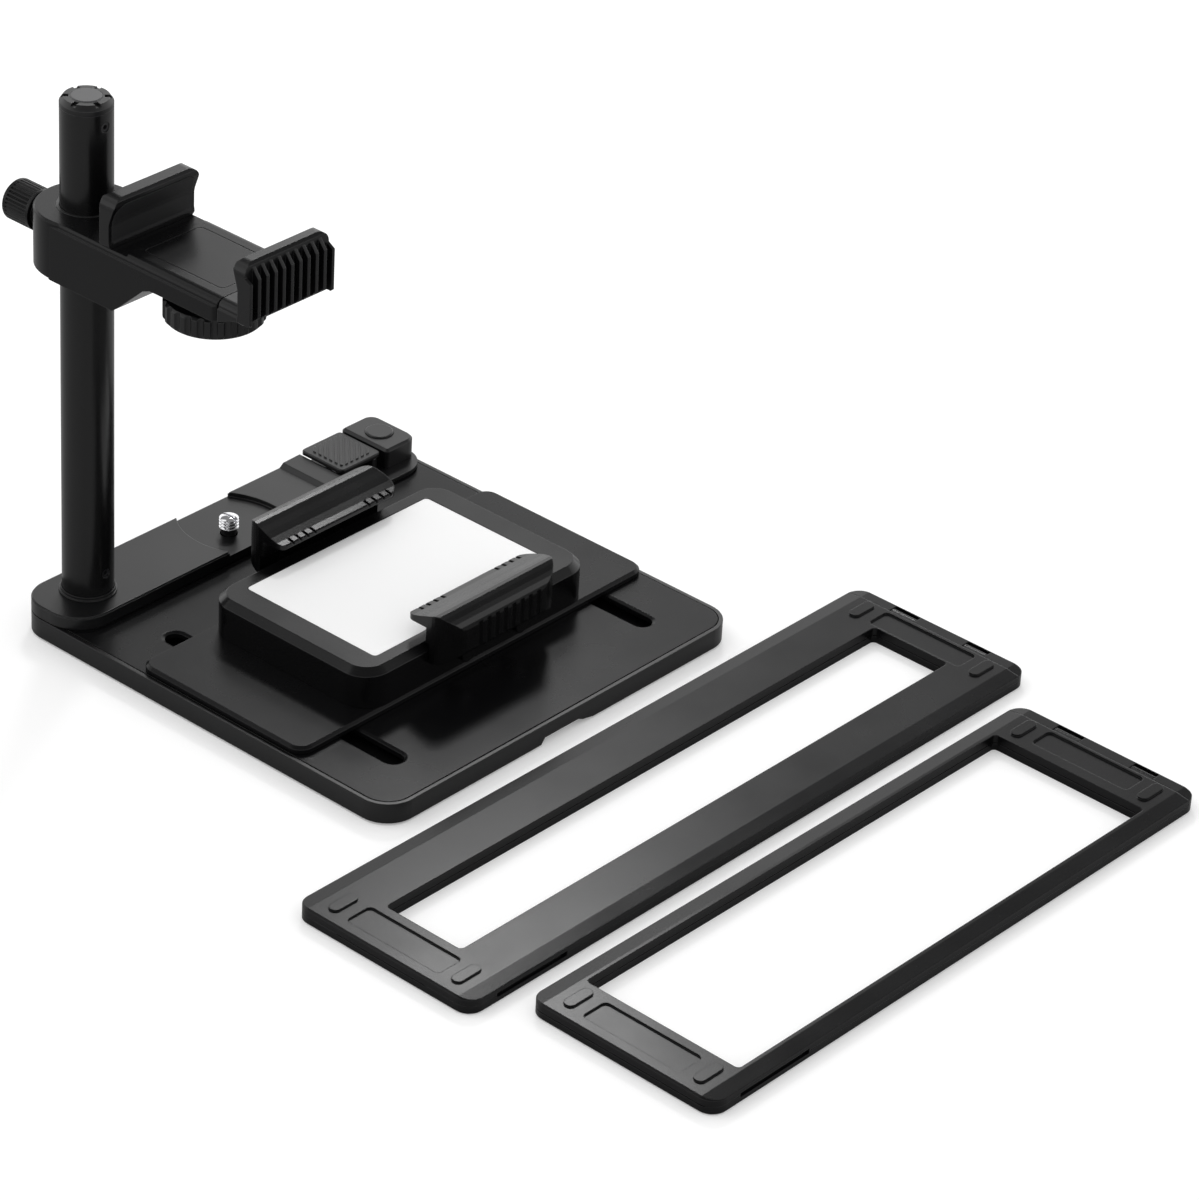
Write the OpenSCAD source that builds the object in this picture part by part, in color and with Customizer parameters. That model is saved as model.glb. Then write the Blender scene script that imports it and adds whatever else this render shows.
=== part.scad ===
// Film digitizing adapter: a sliding light panel with film guides on a base,
// a phone clamp on a column, and two hinged film holders that lie in front.
// The origin is the centre of the base's underside, on the table, and +Z is up.
// X runs along the back rail, Y runs from the front of the base to the rail.

/* [Base] */
// Width of the base along X
base_w = 155; // [145:1:170]
// Depth of the base along Y
base_d = 156.5; // [150:0.5:170]
// Plan radius of the base's corners
base_r = 10; // [6:1:14]
// Plan radius of the base's corner under the end block
back_r = 5; // [4.8:0.2:8]
// Height of the base's top above the table
base_h = 7.3; // [6.8:0.1:9]
// Height of the rubber feet below the tray
foot_h = 0.7; // [0.4:0.1:1.5]
// Radius of a rubber foot
foot_r = 6; // [4:0.5:7]
// Thickness of the tray's wall
tray_wall = 2.6; // [2.2:0.1:3.5]
// Thickness of the tray's floor
tray_floor = 1.6; // [1.4:0.1:2]
// Width of the tray's lip round the cover
lip_w = 1.3; // [1:0.1:1.6]
// Thickness of the top cover
cover_t = 2; // [1.6:0.1:2.4]
// Width of the groove between cover and tray
cover_gap = 0.35; // [0.2:0.05:0.5]
// Width of the finger notch in the tray's front wall
notch_w = 13.6; // [12:0.2:20]
// Centre of the finger notch along X
notch_x = -2.8; // [-6:0.2:6]
// Height of the finger notch
notch_h = 2.4; // [1.5:0.1:2.6]
// Thickness of the steel weight plate
weight_t = 1.6; // [1:0.1:2]

/* [Slots] */
// Distance between the two slots
slot_pitch = 110.5; // [104:0.5:114]
// Width of a slot
slot_w = 6.5; // [5.5:0.1:7.5]
// Front end of the slots
slot_front = -62.2; // [-66:0.2:-60]
// Back end of the slots
slot_back = 35.4; // [34:0.2:40]
// Width of the bevel round a slot
slot_rim = 1; // [0.6:0.1:1.6]
// Depth of the bevel round a slot
slot_rim_depth = 0.5; // [0.3:0.1:1]

/* [Back rail] */
// Depth of the rail along Y
rail_d = 26.7; // [24:0.1:28]
// Height of the rail above the base's top
rail_h = 4.7; // [4:0.1:6]
// Plan radius of the rail's corner beside the column
rail_r = 12; // [8:1:12]
// Plan radius of the rail's corner in front of the end block
rail_end_r = 10; // [6:1:10]
// Place of the accessory stud along X
stud_x = -3.4; // [-8:0.2:2]
// Place of the accessory stud along Y
stud_y = 61.9; // [60:0.1:64]
// Radius of the accessory stud
stud_r = 3.175; // [3:0.025:3.5]
// Height of the stud above the accessory seat
stud_h = 6.3; // [5:0.1:7]
// Left end of the accessory seat
seat_x0 = -16; // [-18:0.5:-14]
// Right end of the accessory seat
seat_x1 = 17; // [15:0.5:18]
// Radius of the seat's left edge
seat_left_r = 24; // [22:0.5:28]
// Radius of the seat's right edge
seat_right_r = 27; // [24:0.5:30]
// Depth of the accessory seat
seat_depth = 1.5; // [1:0.1:1.8]
// Left end of the ramp beside the press pad
ramp_x0 = 35.1; // [32:0.1:38]
// Height of the ramp above the rail
ramp_h = 1.5; // [0.8:0.1:1.5]
// Height of the ledge under the pad and the end block above the base
ledge_h = 1.8; // [1.6:0.1:2.2]

/* [Press pad and end block] */
// Width of the end block along X
block_w = 14.1; // [12:0.1:15]
// Depth of the end block along Y
block_d = 20.6; // [18:0.1:22]
// Height of the end block above the rail
block_h = 4; // [3.5:0.1:5]
// Radius of the disc on the end block
disc_r = 4.6; // [3:0.1:5]
// Length of the press pad along X
pad_w = 18; // [16:0.1:19]
// Thickness of the press pad
pad_t = 1.4; // [1.2:0.1:1.8]
// Gap under the press pad
pad_gap = 1.6; // [1.6:0.1:2.2]
// Radius of the pad's hinge pin
pad_pin_r = 0.5; // [0.4:0.05:0.6]

/* [Column] */
// Place of the column's axis along X
col_x = -59.8; // [-62:0.2:-58]
// Place of the column's axis along Y
col_y = 65.8; // [65:0.1:67]
// Diameter of the column
col_d = 16; // [14:0.5:18]
// Wall of the column's tube
col_wall = 2; // [1.5:0.1:2.5]
// Height of the column's top above the table
col_top = 178; // [174:1:220]
// Height of the cap on the column
cap_h = 3; // [2.4:0.1:4]
// Height of the bevel round the cap
cap_bevel = 1.6; // [0.8:0.1:2]
// Radius of the grey disc in the cap
cap_disc_r = 4.7; // [4:0.1:5]
// Radius of the column's set screws
set_screw_r = 1.5; // [1:0.1:2]

/* [Light panel] */
// Width of the slide plate along X
plate_w = 153; // [148:1:154]
// Distance of the slide plate's centre to the left of the case's centre
plate_shift = 1.05; // [0:0.05:1.5]
// Depth of the slide plate along Y
plate_d = 68; // [66:0.5:70]
// Thickness of the slide plate
plate_t = 2.35; // [2:0.05:3]
// Plan radius of the slide plate's corners
plate_r = 5; // [3:0.5:7]
// Running gap under the slide plate
glide = 0.15; // [0.1:0.05:0.3]
// Centre of the panel along X
panel_cx = 2; // [0:0.5:4]
// Centre of the panel along Y
panel_cy = -7; // [-10:0.5:-5]
// Width of the light case along X
case_w = 100; // [96:1:110]
// Depth of the light case along Y
case_d = 67; // [66.5:0.1:67.4]
// Height of the light case above the plate
case_h = 13.2; // [12.8:0.1:16]
// Plan radius of the light case's corners
case_r = 9; // [6:0.5:11]
// Wall of the light case
case_wall = 2.2; // [1.8:0.1:2.6]
// Bevel along the light case's top edge
case_bevel = 2.2; // [1:0.1:2.6]
// Width of the white diffuser along X
diff_w = 79.3; // [74:0.1:84]
// Depth of the white diffuser along Y
diff_d = 54.1; // [50:0.1:56]
// Thickness of the diffuser
diff_t = 1.8; // [1.5:0.1:2.5]

/* [Film guides] */
// Length of a guide's lip along X
lip_len = 52.5; // [50:0.5:60]
// Centre of the guides along X from the panel's centre
guide_dx = 2.75; // [0:0.25:5]
// Distance of the guides' centre line behind the panel's centre
guide_dy = 1.75; // [1:0.05:2]
// Gap between a holder's edge and a guide
guide_gap = 0.3; // [0.2:0.05:0.5]
// Thickness of a guide's wall
guide_t = 9.65; // [9:0.05:11]
// Plan radius of a guide's outer corners
guide_corner = 7.5; // [5:0.5:8]
// Distance that the lip reaches over the film holder
lip_reach = 8.3; // [6:0.1:9]
// Height of a guide above its lip
guide_rise = 5.3; // [4.8:0.1:6]
// Gap above a film holder under the lip
lip_gap = 0.4; // [0.3:0.1:0.6]
// Radius of a guide's rods
rod_r = 1.3; // [1:0.1:1.5]
// Distance between a guide's two rods
rod_pitch = 24; // [22:1:26]
// Number of grip ribs on a guide
rib_count = 8; // [6:1:9]
// Pitch of the grip ribs
rib_pitch = 3.66; // [3.4:0.01:3.8]

/* [Phone arm] */
// Radius of the collar round the column
collar_r = 15.7; // [14.5:0.1:17]
// Height of the collar
collar_h = 19.2; // [17:0.1:24]
// Height of the collar's top above the table
collar_top = 143.2; // [125:0.1:146]
// Wall of the bush between column and collar
bush_t = 1; // [0.8:0.1:1.5]
// Running clearance of the bush and of pins in their bores
run_fit = 0.06; // [0.03:0.01:0.1]
// Distance of the arm's centre line to the right of the column
arm_shift = 1.5; // [0.5:0.1:2]
// Distance of the jaw drive to the left of the arm's centre line
drive_shift = 1.1; // [0:0.1:1.5]
// Thickness of the arm in front of the collar
arm_t = 6.7; // [6.4:0.1:8]
// Place of the arm's front end along Y
arm_front = -4; // [-8:1:0]
// Height of the crown on the arm's top
crown_h = 1; // [0.8:0.1:1.4]
// Width of the arm's top cover
arm_cover_w = 22.4; // [20:0.1:24]
// Front end of the arm's top cover
arm_cover_y0 = -0.2; // [-1:0.1:4]
// Back end of the arm's top cover
arm_cover_y1 = 31.5; // [28:0.5:32]
// Thickness of the arm's top cover
arm_cover_t = 1.6; // [1.2:0.1:1.8]

/* [Phone jaws] */
// Width of the fixed jaw
fixed_w = 34.2; // [30:0.1:36]
// Back face of the fixed jaw along Y
fixed_y = 44; // [43:0.5:46]
// Thickness of a jaw at its lip
jaw_t = 6; // [5.8:0.1:7]
// Height of the fixed jaw above the arm
fixed_h = 16.3; // [14:0.1:20]
// Plan width of the front jaw
front_w = 33.8; // [30:0.1:36]
// Gap between the arm's front end and the front jaw when closed
jaw_gap = 7; // [6:0.5:12]
// Thickness of the front jaw
front_t = 7; // [6.4:0.1:8]
// Pitch of the front jaw's ribs
jaw_rib_pitch = 3.28; // [3:0.02:3.4]
// Width of a front jaw rib
jaw_rib_w = 1.15; // [0.9:0.05:1.4]
// Height of the front jaw's ribs above its face
jaw_rib_t = 2.4; // [1.6:0.1:2.6]
// Radius of the jaws' top corners
jaw_r = 4; // [3:0.5:6]
// Opening travel of the front jaw
jaw_travel = 28; // [20:1:28]

/* [Jaw drive] */
// Module of the rack and pinion
gear_m = 0.8; // [0.8:0.1:0.8]
// Number of the pinion's teeth
gear_teeth = 12; // [12:1:12]
// Place of the pinion along Y
knob_y = 13; // [12:0.2:14]
// Diameter of the drive knob
knob_d = 30; // [27:0.2:31]
// Height of the drive knob's rim
knob_h = 6.6; // [5:0.1:8]
// Gap between the drive knob's rim and the arm
knob_drop = 3.4; // [2.5:0.1:4]
// Number of flutes round the drive knob
flute_count = 24; // [16:1:28]
// Thickness of the rack
rack_t = 3; // [2.6:0.1:3]
// Width of the rack
rack_w = 14.8; // [14.6:0.1:15]

/* [Side knob] */
// Diameter of the knurled side knob
side_d = 13; // [11:0.5:15]
// Length of the knurled side knob
side_l = 13; // [11:0.5:18]
// Radius of the clamp screw
clamp_r = 2.5; // [2:0.1:3]
// Number of knurls round the side knob
knurl_count = 32; // [24:1:40]

/* [Film holders] */
// Width of both film holders
holder_w = 67.6; // [66:0.1:68]
// Thickness of a closed film holder
holder_t = 5.2; // [5:0.1:5.6]
// Plan radius of a holder's corners
holder_r = 5.3; // [3:0.1:7]
// Length of the holders' left end before the window
left_end = 16.9; // [16:0.1:20]
// Length of the narrow holder's right end behind the window
narrow_end = 15.6; // [15.4:0.1:20]
// Length of the wide holder's right end behind the window
wide_end = 19.1; // [15.4:0.1:24]
// Length of the narrow holder's window
narrow_win_l = 217; // [210:0.5:218]
// Width of the narrow holder's window
narrow_win_w = 29; // [24:0.5:36]
// Length of the wide holder's window
wide_win_l = 182; // [170:0.5:183]
// Width of the wide holder's window
wide_win_w = 55.6; // [50:0.1:56]
// Turn of the narrow holder on the table
narrow_turn = -0.24; // [-1:0.01:1]
// Turn of the wide holder on the table
wide_turn = -0.51; // [-1:0.01:1]
// Radius of the lids' hinge barrels
barrel_r = 1.5; // [1.4:0.05:1.6]
// Distance from the hinge axis to the seam of a lid
swing_r = 2.2; // [2.1:0.05:2.4]
// Wall at the end of a holder beyond its hinge slots
end_wall = 0.8; // [0.6:0.1:1]
// Width of the sloping strips along a lid's long sides
strip_w = 4.9; // [3:0.1:5.5]
// Fall of the sloping strips
strip_drop = 0.5; // [0.2:0.05:0.7]
// Height of the oblong pads on a lid
lid_pad_h = 0.6; // [0.3:0.05:0.7]
// Depth of the bare label recesses on a lid
label_depth = 0.6; // [0.3:0.05:0.8]
// Radius of the lids' hinge pins
hinge_pin_r = 0.6; // [0.5:0.05:0.8]

/* [Hidden] */
$fn = 64;
eps = 0.01;
snug = 0.03;
slack = 0.3;
charcoal = [0.13, 0.13, 0.14];
soft_black = [0.08, 0.08, 0.085];
steel = [0.6, 0.6, 0.62];

// Base levels
tray_z0 = foot_h;
tray_z1 = foot_h + tray_floor;
cover_z0 = base_h - cover_t;
foot_seat = 0.5;
weight_peg_y = -58;
bx = base_w / 2;
by = base_d / 2;
post_r = 3;
cover_inset = lip_w + cover_gap;
foot_pts = [[0, 0], [-bx + 11, -by + 12], [bx - 11, -by + 12], [-bx + 11, by - 27], [bx - 11, by - 27]];
front_screws = [for (sx = [-1, 1], y = [-by + 26, by - 48]) [sx * (bx - 9.5), y]];
rail_y0 = by - rail_d;
rail_z1 = base_h + rail_h;
rail_groove = 0.4;
screw_r = 1.2;
screw_head_r = 2.4;
screw_head_h = 1.2;

// Levels of the press pad
pad_z0 = rail_z1 + pad_gap;
block_x1 = bx - 0.4;
block_x0 = block_x1 - block_w;
pad_x1 = block_x0 - 0.5;
pad_x0 = pad_x1 - pad_w;
pad_y1 = by - 0.4;
pad_y0 = pad_y1 - block_d + 2;
pad_axis_x = pad_x1 - 2.2;
pad_barrel_r = 1;
pad_axis_z = pad_z0 - 0.5;
pad_lug_w = 2;
pad_lugs_y = [pad_y0 + 0.8, pad_y1 - 0.8 - pad_lug_w];
pad_spring_z0 = base_h + ledge_h - 0.8;
ledge_z = base_h + ledge_h;
block_cx = (block_x0 + block_x1) / 2;
block_cy = pad_y1 - block_d / 2;
rail_screw_pts = [[-30, by - 10], [26, by - 10], [block_cx, block_cy]];
seat_left_x = seat_x0 + seat_left_r;
seat_right_x = seat_x1 - seat_right_r;
seat_y = stud_y + 1;
stud_shank_r = 2.8;

// Column levels
col_r = col_d / 2;
bore_r = col_r - col_wall;
col_z0 = base_h;
cap_z0 = col_top - cap_h;
low_screw_z = col_z0 + 13.5;
high_screw_z = cap_z0 - 4.4;
plug_h = 17.7;
bolt_r = 3;

// Light panel levels
plate_z0 = base_h + glide;
plate_z1 = plate_z0 + plate_t;
plate_x0 = panel_cx - plate_shift - plate_w / 2;
plate_x1 = panel_cx - plate_shift + plate_w / 2;
plate_y0 = panel_cy - plate_d / 2;
plate_y1 = panel_cy + plate_d / 2;
case_x0 = panel_cx - case_w / 2;
case_x1 = panel_cx + case_w / 2;
case_y0 = panel_cy - case_d / 2;
case_y1 = panel_cy + case_d / 2;
case_z1 = plate_z1 + case_h;
back_t = 1.5;
back_z1 = plate_z1 + back_t;
diff_z1 = case_z1 - 0.1;
diff_z0 = diff_z1 - diff_t;
roof_z0 = diff_z0 - 1.2;
shoe_r = slot_w / 2 - 0.2;
shoe_pts = [for (sx = [-1, 1], y = [plate_y0 + 15, plate_y1 - 3.5]) [sx * slot_pitch / 2, y]];
case_posts = [for (sx = [-1, 1], sy = [-1, 1])
    [panel_cx + sx * (case_w / 2 - 7), panel_cy + sy * (case_d / 2 - 7)]];
post_case_r = 3.2;
led_z0 = back_z1 + 6;
led_t = 1.2;
board_d = 47;
board_w = 72;
button_y = panel_cy + 15;
button_r = 2.9;
button_z = back_z1 + 4.6;
port_y = panel_cy - 16;

// Guide levels, with r counted from the panel's centre line
guide_cx = panel_cx + guide_dx;
guide_cy = panel_cy + guide_dy;
guide_r0 = holder_w / 2 + guide_gap;
guide_r1 = guide_r0 + guide_t;
leg_r = case_d / 2 + guide_dy + 0.3;
leg_z = case_z1 + 0.3;
guide_z0 = case_z1 - 6.1;
lip_z = case_z1 + holder_t + lip_gap;
guide_z1 = lip_z + guide_rise;
lip_x0 = guide_cx - lip_len / 2;
lip_x1 = guide_cx + lip_len / 2;
rod_boss_r = 2.3;
rod_z = rail_z1 + 0.5 + rod_boss_r;
rod_in = 13;
rod_out = leg_r + 2.2;
boss_in = 28;
rod_xs = [guide_cx - rod_pitch / 2, guide_cx + rod_pitch / 2];

// Arm levels
collar_z0 = collar_top - collar_h;
bush_or = col_r + run_fit + bush_t;
arm_bore_r = bush_or + run_fit;
arm_z0 = collar_top - arm_t;
crown_z = collar_top + crown_h;
arm_x = col_x + arm_shift;
drive_x = arm_x - drive_shift;
half_arm = collar_r + arm_shift;
arm_cover_seam = 0.25;
rack_z0 = arm_z0 + 2.3;
rack_z1 = rack_z0 + rack_t;
channel_z0 = rack_z0 - 0.2;
channel_z1 = rack_z1 + 0.3;
arm_cover_z0 = crown_z - arm_cover_t;
pitch_r = gear_m * gear_teeth / 2;
rack_root = 1.05;
pinion_tip_r = pitch_r + gear_m;
rack_back = knob_y + jaw_travel + pinion_tip_r + 0.6 + 2;
front_jaw_y1 = arm_front - jaw_gap;
front_jaw_y0 = front_jaw_y1 - front_t;
rack_front = front_jaw_y1 + 4.4;
knob_z1 = arm_z0 - knob_drop;
knob_z0 = knob_z1 - knob_h;
side_y0 = col_y + collar_r + 1.5;
side_z = collar_z0 + 9.9;
jaw_screw_dx = 11.5;
jaw_waist = 2.2;
jaw_screw_y = fixed_y - 1.5;
jaw_screw_l = 16;
jaw_screw_z0 = collar_top - 12.6;

// Holder lengths and levels
narrow_l = left_end + narrow_win_l + narrow_end;
wide_l = left_end + wide_win_l + wide_end;
split_z = holder_t / 2;
split_gap = 0.05;
hinge_z = holder_t - barrel_r - 0.05;
hinge_in = end_wall + 0.6 + barrel_r;
knuckles = [[14.2, 22.5], [41.9, 51.2]];
pin_seat = 3;

// Outline helpers
module round_rect(x0, x1, y0, y1, r) {
    translate([x0 + r, y0]) square([x1 - x0 - 2 * r, y1 - y0]);
    translate([x0, y0 + r]) square([x1 - x0, y1 - y0 - 2 * r]);
    for (x = [x0 + r, x1 - r], y = [y0 + r, y1 - r]) translate([x, y]) circle(r = r);
}

module slab(x0, x1, y0, y1, z0, z1, r) {
    translate([0, 0, z0]) linear_extrude(z1 - z0) round_rect(x0, x1, y0, y1, r);
}

// A block with round corners whose top is smaller by the bevel on every side
module frustum(x0, x1, y0, y1, z0, z1, r, bevel) {
    h = z1 - z0;
    translate([0, y1 - r, z0]) rotate([90, 0, 0]) linear_extrude(y1 - y0 - 2 * r)
        polygon([[x0, 0], [x1, 0], [x1 - bevel, h], [x0 + bevel, h]]);
    translate([x0 + r, 0, z0]) rotate([90, 0, 90]) linear_extrude(x1 - x0 - 2 * r)
        polygon([[y0, 0], [y1, 0], [y1 - bevel, h], [y0 + bevel, h]]);
    for (x = [x0 + r, x1 - r], y = [y0 + r, y1 - r])
        translate([x, y, z0]) cylinder(h = h, r1 = r, r2 = r - bevel);
}

module bevel_slab(x0, x1, y0, y1, z0, z1, r, bevel, drop) {
    slab(x0, x1, y0, y1, z0, z1 - drop, r);
    frustum(x0, x1, y0, y1, z1 - drop, z1, r, bevel);
}

module box(x0, x1, y0, y1, z0, z1) {
    translate([x0, y0, z0]) cube([x1 - x0, y1 - y0, z1 - z0]);
}

module rod_z_axis(x, y, z0, z1, r) {
    translate([x, y, z0]) cylinder(h = z1 - z0, r = r);
}

module rod_y_axis(x, z, y0, y1, r) {
    translate([x, y1, z]) rotate([90, 0, 0]) cylinder(h = y1 - y0, r = r);
}

module rod_x_axis(y, z, x0, x1, r) {
    translate([x0, y, z]) rotate([0, 90, 0]) cylinder(h = x1 - x0, r = r);
}

// Points of a quarter arc that starts at the angle
function arc(x, y, r, start) = [for (a = [start : 10 : start + 90]) [x + r * cos(a), y + r * sin(a)]];

// A slot along Y with round ends
module slot_shape(x, y0, y1, w) {
    translate([x - w / 2, y0 + w / 2]) square([w, y1 - y0 - w]);
    for (y = [y0 + w / 2, y1 - w / 2]) translate([x, y]) circle(d = w);
}

// A countersunk screw whose head is at z and whose shank points up
module screw_up(x, y, z, length) {
    translate([x, y, z]) {
        difference() {
            union() {
                cylinder(h = screw_head_h, r1 = screw_head_r, r2 = screw_r);
                cylinder(h = length, r = screw_r);
            }
            for (a = [0, 90]) rotate(a) translate([-1.4, -0.25, -eps]) cube([2.8, 0.5, 0.6]);
        }
    }
}

module screw_hole(x, y, z, length) {
    translate([x, y, z - eps]) {
        cylinder(h = screw_head_h, r1 = screw_head_r + snug, r2 = screw_r + snug);
        cylinder(h = length + 0.3, r = screw_r + snug);
    }
}

// Base
cover_screw_l = cover_z0 + cover_t - 0.9 - tray_z0;
rail_screw_l = rail_z1 - 1.6 - tray_z0;

// The base's plan outline drawn smaller by the inset on every side
module base_slab(inset, z0, z1) {
    x1 = bx - inset;
    y1 = by - inset;
    slab(-x1, x1, -y1, y1, z0, z1, base_r - inset);
    slab(x1 - 2 * base_r, x1, y1 - 2 * base_r, y1, z0, z1, back_r - inset);
}

module base_tray() {
    color(charcoal) difference() {
        union() {
            difference() {
                base_slab(0, tray_z0, base_h);
                base_slab(tray_wall, tray_z1, base_h + 1);
                base_slab(lip_w, cover_z0, base_h + 1);
            }
            rod_z_axis(col_x, col_y, tray_z0, cover_z0, 9);
            for (p = rail_screw_pts) rod_z_axis(p[0], p[1], tray_z0, cover_z0, post_r);
            rod_z_axis(0, weight_peg_y, tray_z0 + 1, tray_z1 + weight_t, post_r - 0.1);
        }
        for (p = foot_pts) rod_z_axis(p[0], p[1], tray_z0 - 1, tray_z0 + foot_seat, foot_r + 0.1);
        for (p = front_screws) screw_hole(p[0], p[1], tray_z0, cover_screw_l);
        for (p = rail_screw_pts) screw_hole(p[0], p[1], tray_z0, rail_screw_l);
        rod_z_axis(col_x, col_y, tray_z0 - 1, tray_z0 + 2.6, 5.2);
        rod_z_axis(col_x, col_y, tray_z0, base_h, bolt_r + 0.05);
        front_notch();
    }
}

// Finger notch, steep at its left end and shallow at its right end
module front_notch() {
    depth = tray_wall - 0.6;
    x0 = notch_x - notch_w / 2;
    x1 = notch_x + notch_w / 2;
    top = foot_h + notch_h;
    translate([0, -by + depth, 0]) rotate([90, 0, 0]) linear_extrude(depth + 1)
        polygon([[x0 - 2.5, 0], [x1 + 9.2, 0], [x1 + 7, foot_h + 0.2], [x1 + 2.9, top - 1.4], [x1, top], [x0, top]]);
}

module weight_plate() {
    w = slot_pitch - 2 * slot_w - 10;
    color(steel) difference() {
        slab(-w / 2, w / 2, -by + tray_wall + 3, rail_y0, tray_z1, tray_z1 + weight_t, 4);
        rod_z_axis(0, weight_peg_y, tray_z0, base_h, post_r);
    }
}

module top_cover() {
    color(charcoal) difference() {
        union() {
            base_slab(cover_inset, cover_z0, base_h);
            for (p = front_screws) rod_z_axis(p[0], p[1], tray_z1, cover_z0 + eps, post_r);
        }
        for (sx = [-1, 1]) slot_cut(sx * slot_pitch / 2);
        for (p = front_screws) rod_z_axis(p[0], p[1], tray_z0, tray_z0 + cover_screw_l + 0.3, screw_r + snug);
        for (p = rail_screw_pts) rod_z_axis(p[0], p[1], tray_z0, base_h + 1, screw_r + snug);
        rod_z_axis(col_x, col_y, tray_z0, base_h + 1, bolt_r + 0.05);
    }
}

module slot_cut(x) {
    translate([0, 0, cover_z0 - 1]) linear_extrude(cover_t + 2) slot_shape(x, slot_front, slot_back, slot_w);
    rim_w = slot_w + 2 * slot_rim;
    y0 = slot_front - slot_rim;
    y1 = slot_back + slot_rim;
    z0 = base_h - slot_rim_depth;
    translate([x, y1 - rim_w / 2, z0]) rotate([90, 0, 0]) linear_extrude(y1 - y0 - rim_w)
        polygon([[-slot_w / 2, 0], [slot_w / 2, 0], [rim_w / 2, slot_rim_depth], [rim_w / 2, 2],
            [-rim_w / 2, 2], [-rim_w / 2, slot_rim_depth]]);
    for (y = [y0 + rim_w / 2, y1 - rim_w / 2]) {
        translate([x, y, z0]) cylinder(h = slot_rim_depth, r1 = slot_w / 2, r2 = rim_w / 2);
        rod_z_axis(x, y, base_h, base_h + 2, rim_w / 2);
    }
}

module cover_screws() {
    color(steel) for (p = front_screws) screw_up(p[0], p[1], tray_z0, cover_screw_l);
}

module rubber_feet() {
    color(soft_black) for (p = foot_pts) rod_z_axis(p[0], p[1], 0, tray_z0 + foot_seat, foot_r);
}

// Back rail with the accessory seat and the pad's lugs
module rail_shape(inset) {
    x0 = -bx + inset;
    x1 = bx - inset;
    y0 = rail_y0 + inset;
    y1 = by - inset;
    r0 = rail_r - inset;
    r1 = base_r - inset;
    r2 = rail_end_r - inset;
    r3 = back_r - inset;
    translate([x0 + r0, y0]) square([x1 - x0 - r0 - r2, y1 - y0 - r1]);
    translate([x0, y0 + r0]) square([x1 - x0, y1 - y0 - r0 - r1]);
    translate([x0 + r1, y1 - r1 - eps]) square([x1 - x0 - r1 - r3, r1 + eps]);
    translate([x1 - r2 - 1, y0 + r2]) square([r2 + 1, y1 - y0 - r2 - r3]);
    translate([x0 + r0, y0 + r0]) circle(r = r0);
    translate([x1 - r2, y0 + r2]) circle(r = r2);
    translate([x0 + r1, y1 - r1]) circle(r = r1);
    translate([x1 - r3, y1 - r3]) circle(r = r3);
}

module back_rail() {
    color(charcoal) difference() {
        union() {
            difference() {
                union() {
                    translate([0, 0, base_h]) linear_extrude(0.6) rail_shape(rail_groove);
                    translate([0, 0, base_h + 0.5]) linear_extrude(rail_h - 1) rail_shape(0);
                    translate([0, 0, rail_z1 - 0.6]) linear_extrude(0.6) rail_shape(0.35);
                    rail_ramp();
                }
                box(pad_x0 - 0.35, bx + 1, rail_y0 - 1, by + 1, ledge_z, rail_z1 + 2);
            }
            pad_lugs();
        }
        intersection() {
            rod_z_axis(seat_left_x, seat_y, rail_z1 - seat_depth, rail_z1 + 2, seat_left_r);
            rod_z_axis(seat_right_x, seat_y, rail_z1 - seat_depth, rail_z1 + 2, seat_right_r);
        }
        rod_z_axis(stud_x, stud_y, base_h - 1, base_h + 1.8 + snug, 5 + snug);
        rod_z_axis(stud_x, stud_y, base_h, rail_z1 + 1, stud_shank_r + snug);
        rod_z_axis(col_x, col_y, base_h - 1, rail_z1 + 1, col_r + 0.05);
        for (p = rail_screw_pts) rod_z_axis(p[0], p[1], base_h - 1, tray_z0 + rail_screw_l + 0.3, screw_r + snug);
        rod_z_axis(pad_x0 + 4.5, (pad_y0 + pad_y1) / 2, pad_spring_z0, rail_z1 + 1, 2.3);
        rod_y_axis(pad_axis_x, pad_axis_z, pad_y0, pad_y1, pad_pin_r + snug);
    }
}

module rail_ramp() {
    y0 = rail_y0 + 0.35;
    x1 = pad_x0 - 0.2;
    translate([0, by - 0.35, 0]) rotate([90, 0, 0]) linear_extrude(by - 0.35 - y0)
        polygon([[ramp_x0, rail_z1 - 1], [x1, rail_z1 - 1], [x1, rail_z1 + ramp_h],
            [ramp_x0 + 1.6, rail_z1 + ramp_h - 0.2], [ramp_x0, rail_z1]]);
}

module pad_lugs() {
    for (y = pad_lugs_y) {
        rod_y_axis(pad_axis_x, pad_axis_z, y, y + pad_lug_w, pad_barrel_r);
        box(pad_axis_x - pad_barrel_r, pad_axis_x + pad_barrel_r, y, y + pad_lug_w, ledge_z - 1, pad_axis_z);
    }
}

module rail_screws() {
    color(steel) for (p = rail_screw_pts) screw_up(p[0], p[1], tray_z0, rail_screw_l);
}

module end_block() {
    color(charcoal) difference() {
        union() {
            bevel_slab(block_x0, block_x1, pad_y1 - block_d, pad_y1, ledge_z, rail_z1 + block_h, 4, 0.8, 0.8);
            bevel_slab(block_x0, block_cx + 2, pad_y1 - block_d, pad_y1, ledge_z, rail_z1 + block_h, 1.2, 0.8, 0.8);
        }
        rod_z_axis(block_cx, block_cy, rail_z1 + block_h - 0.6, rail_z1 + block_h + 1, disc_r + 0.05);
        rod_z_axis(block_cx, block_cy, ledge_z - 1, tray_z0 + rail_screw_l + 0.3, screw_r + snug);
    }
}

module block_disc() {
    z = rail_z1 + block_h;
    color(soft_black) {
        rod_z_axis(block_cx, block_cy, z - 0.6, z + 0.3, disc_r);
        translate([block_cx, block_cy, z + 0.3 - eps]) cylinder(h = 0.3, r1 = disc_r, r2 = disc_r - 0.4);
    }
}

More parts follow.
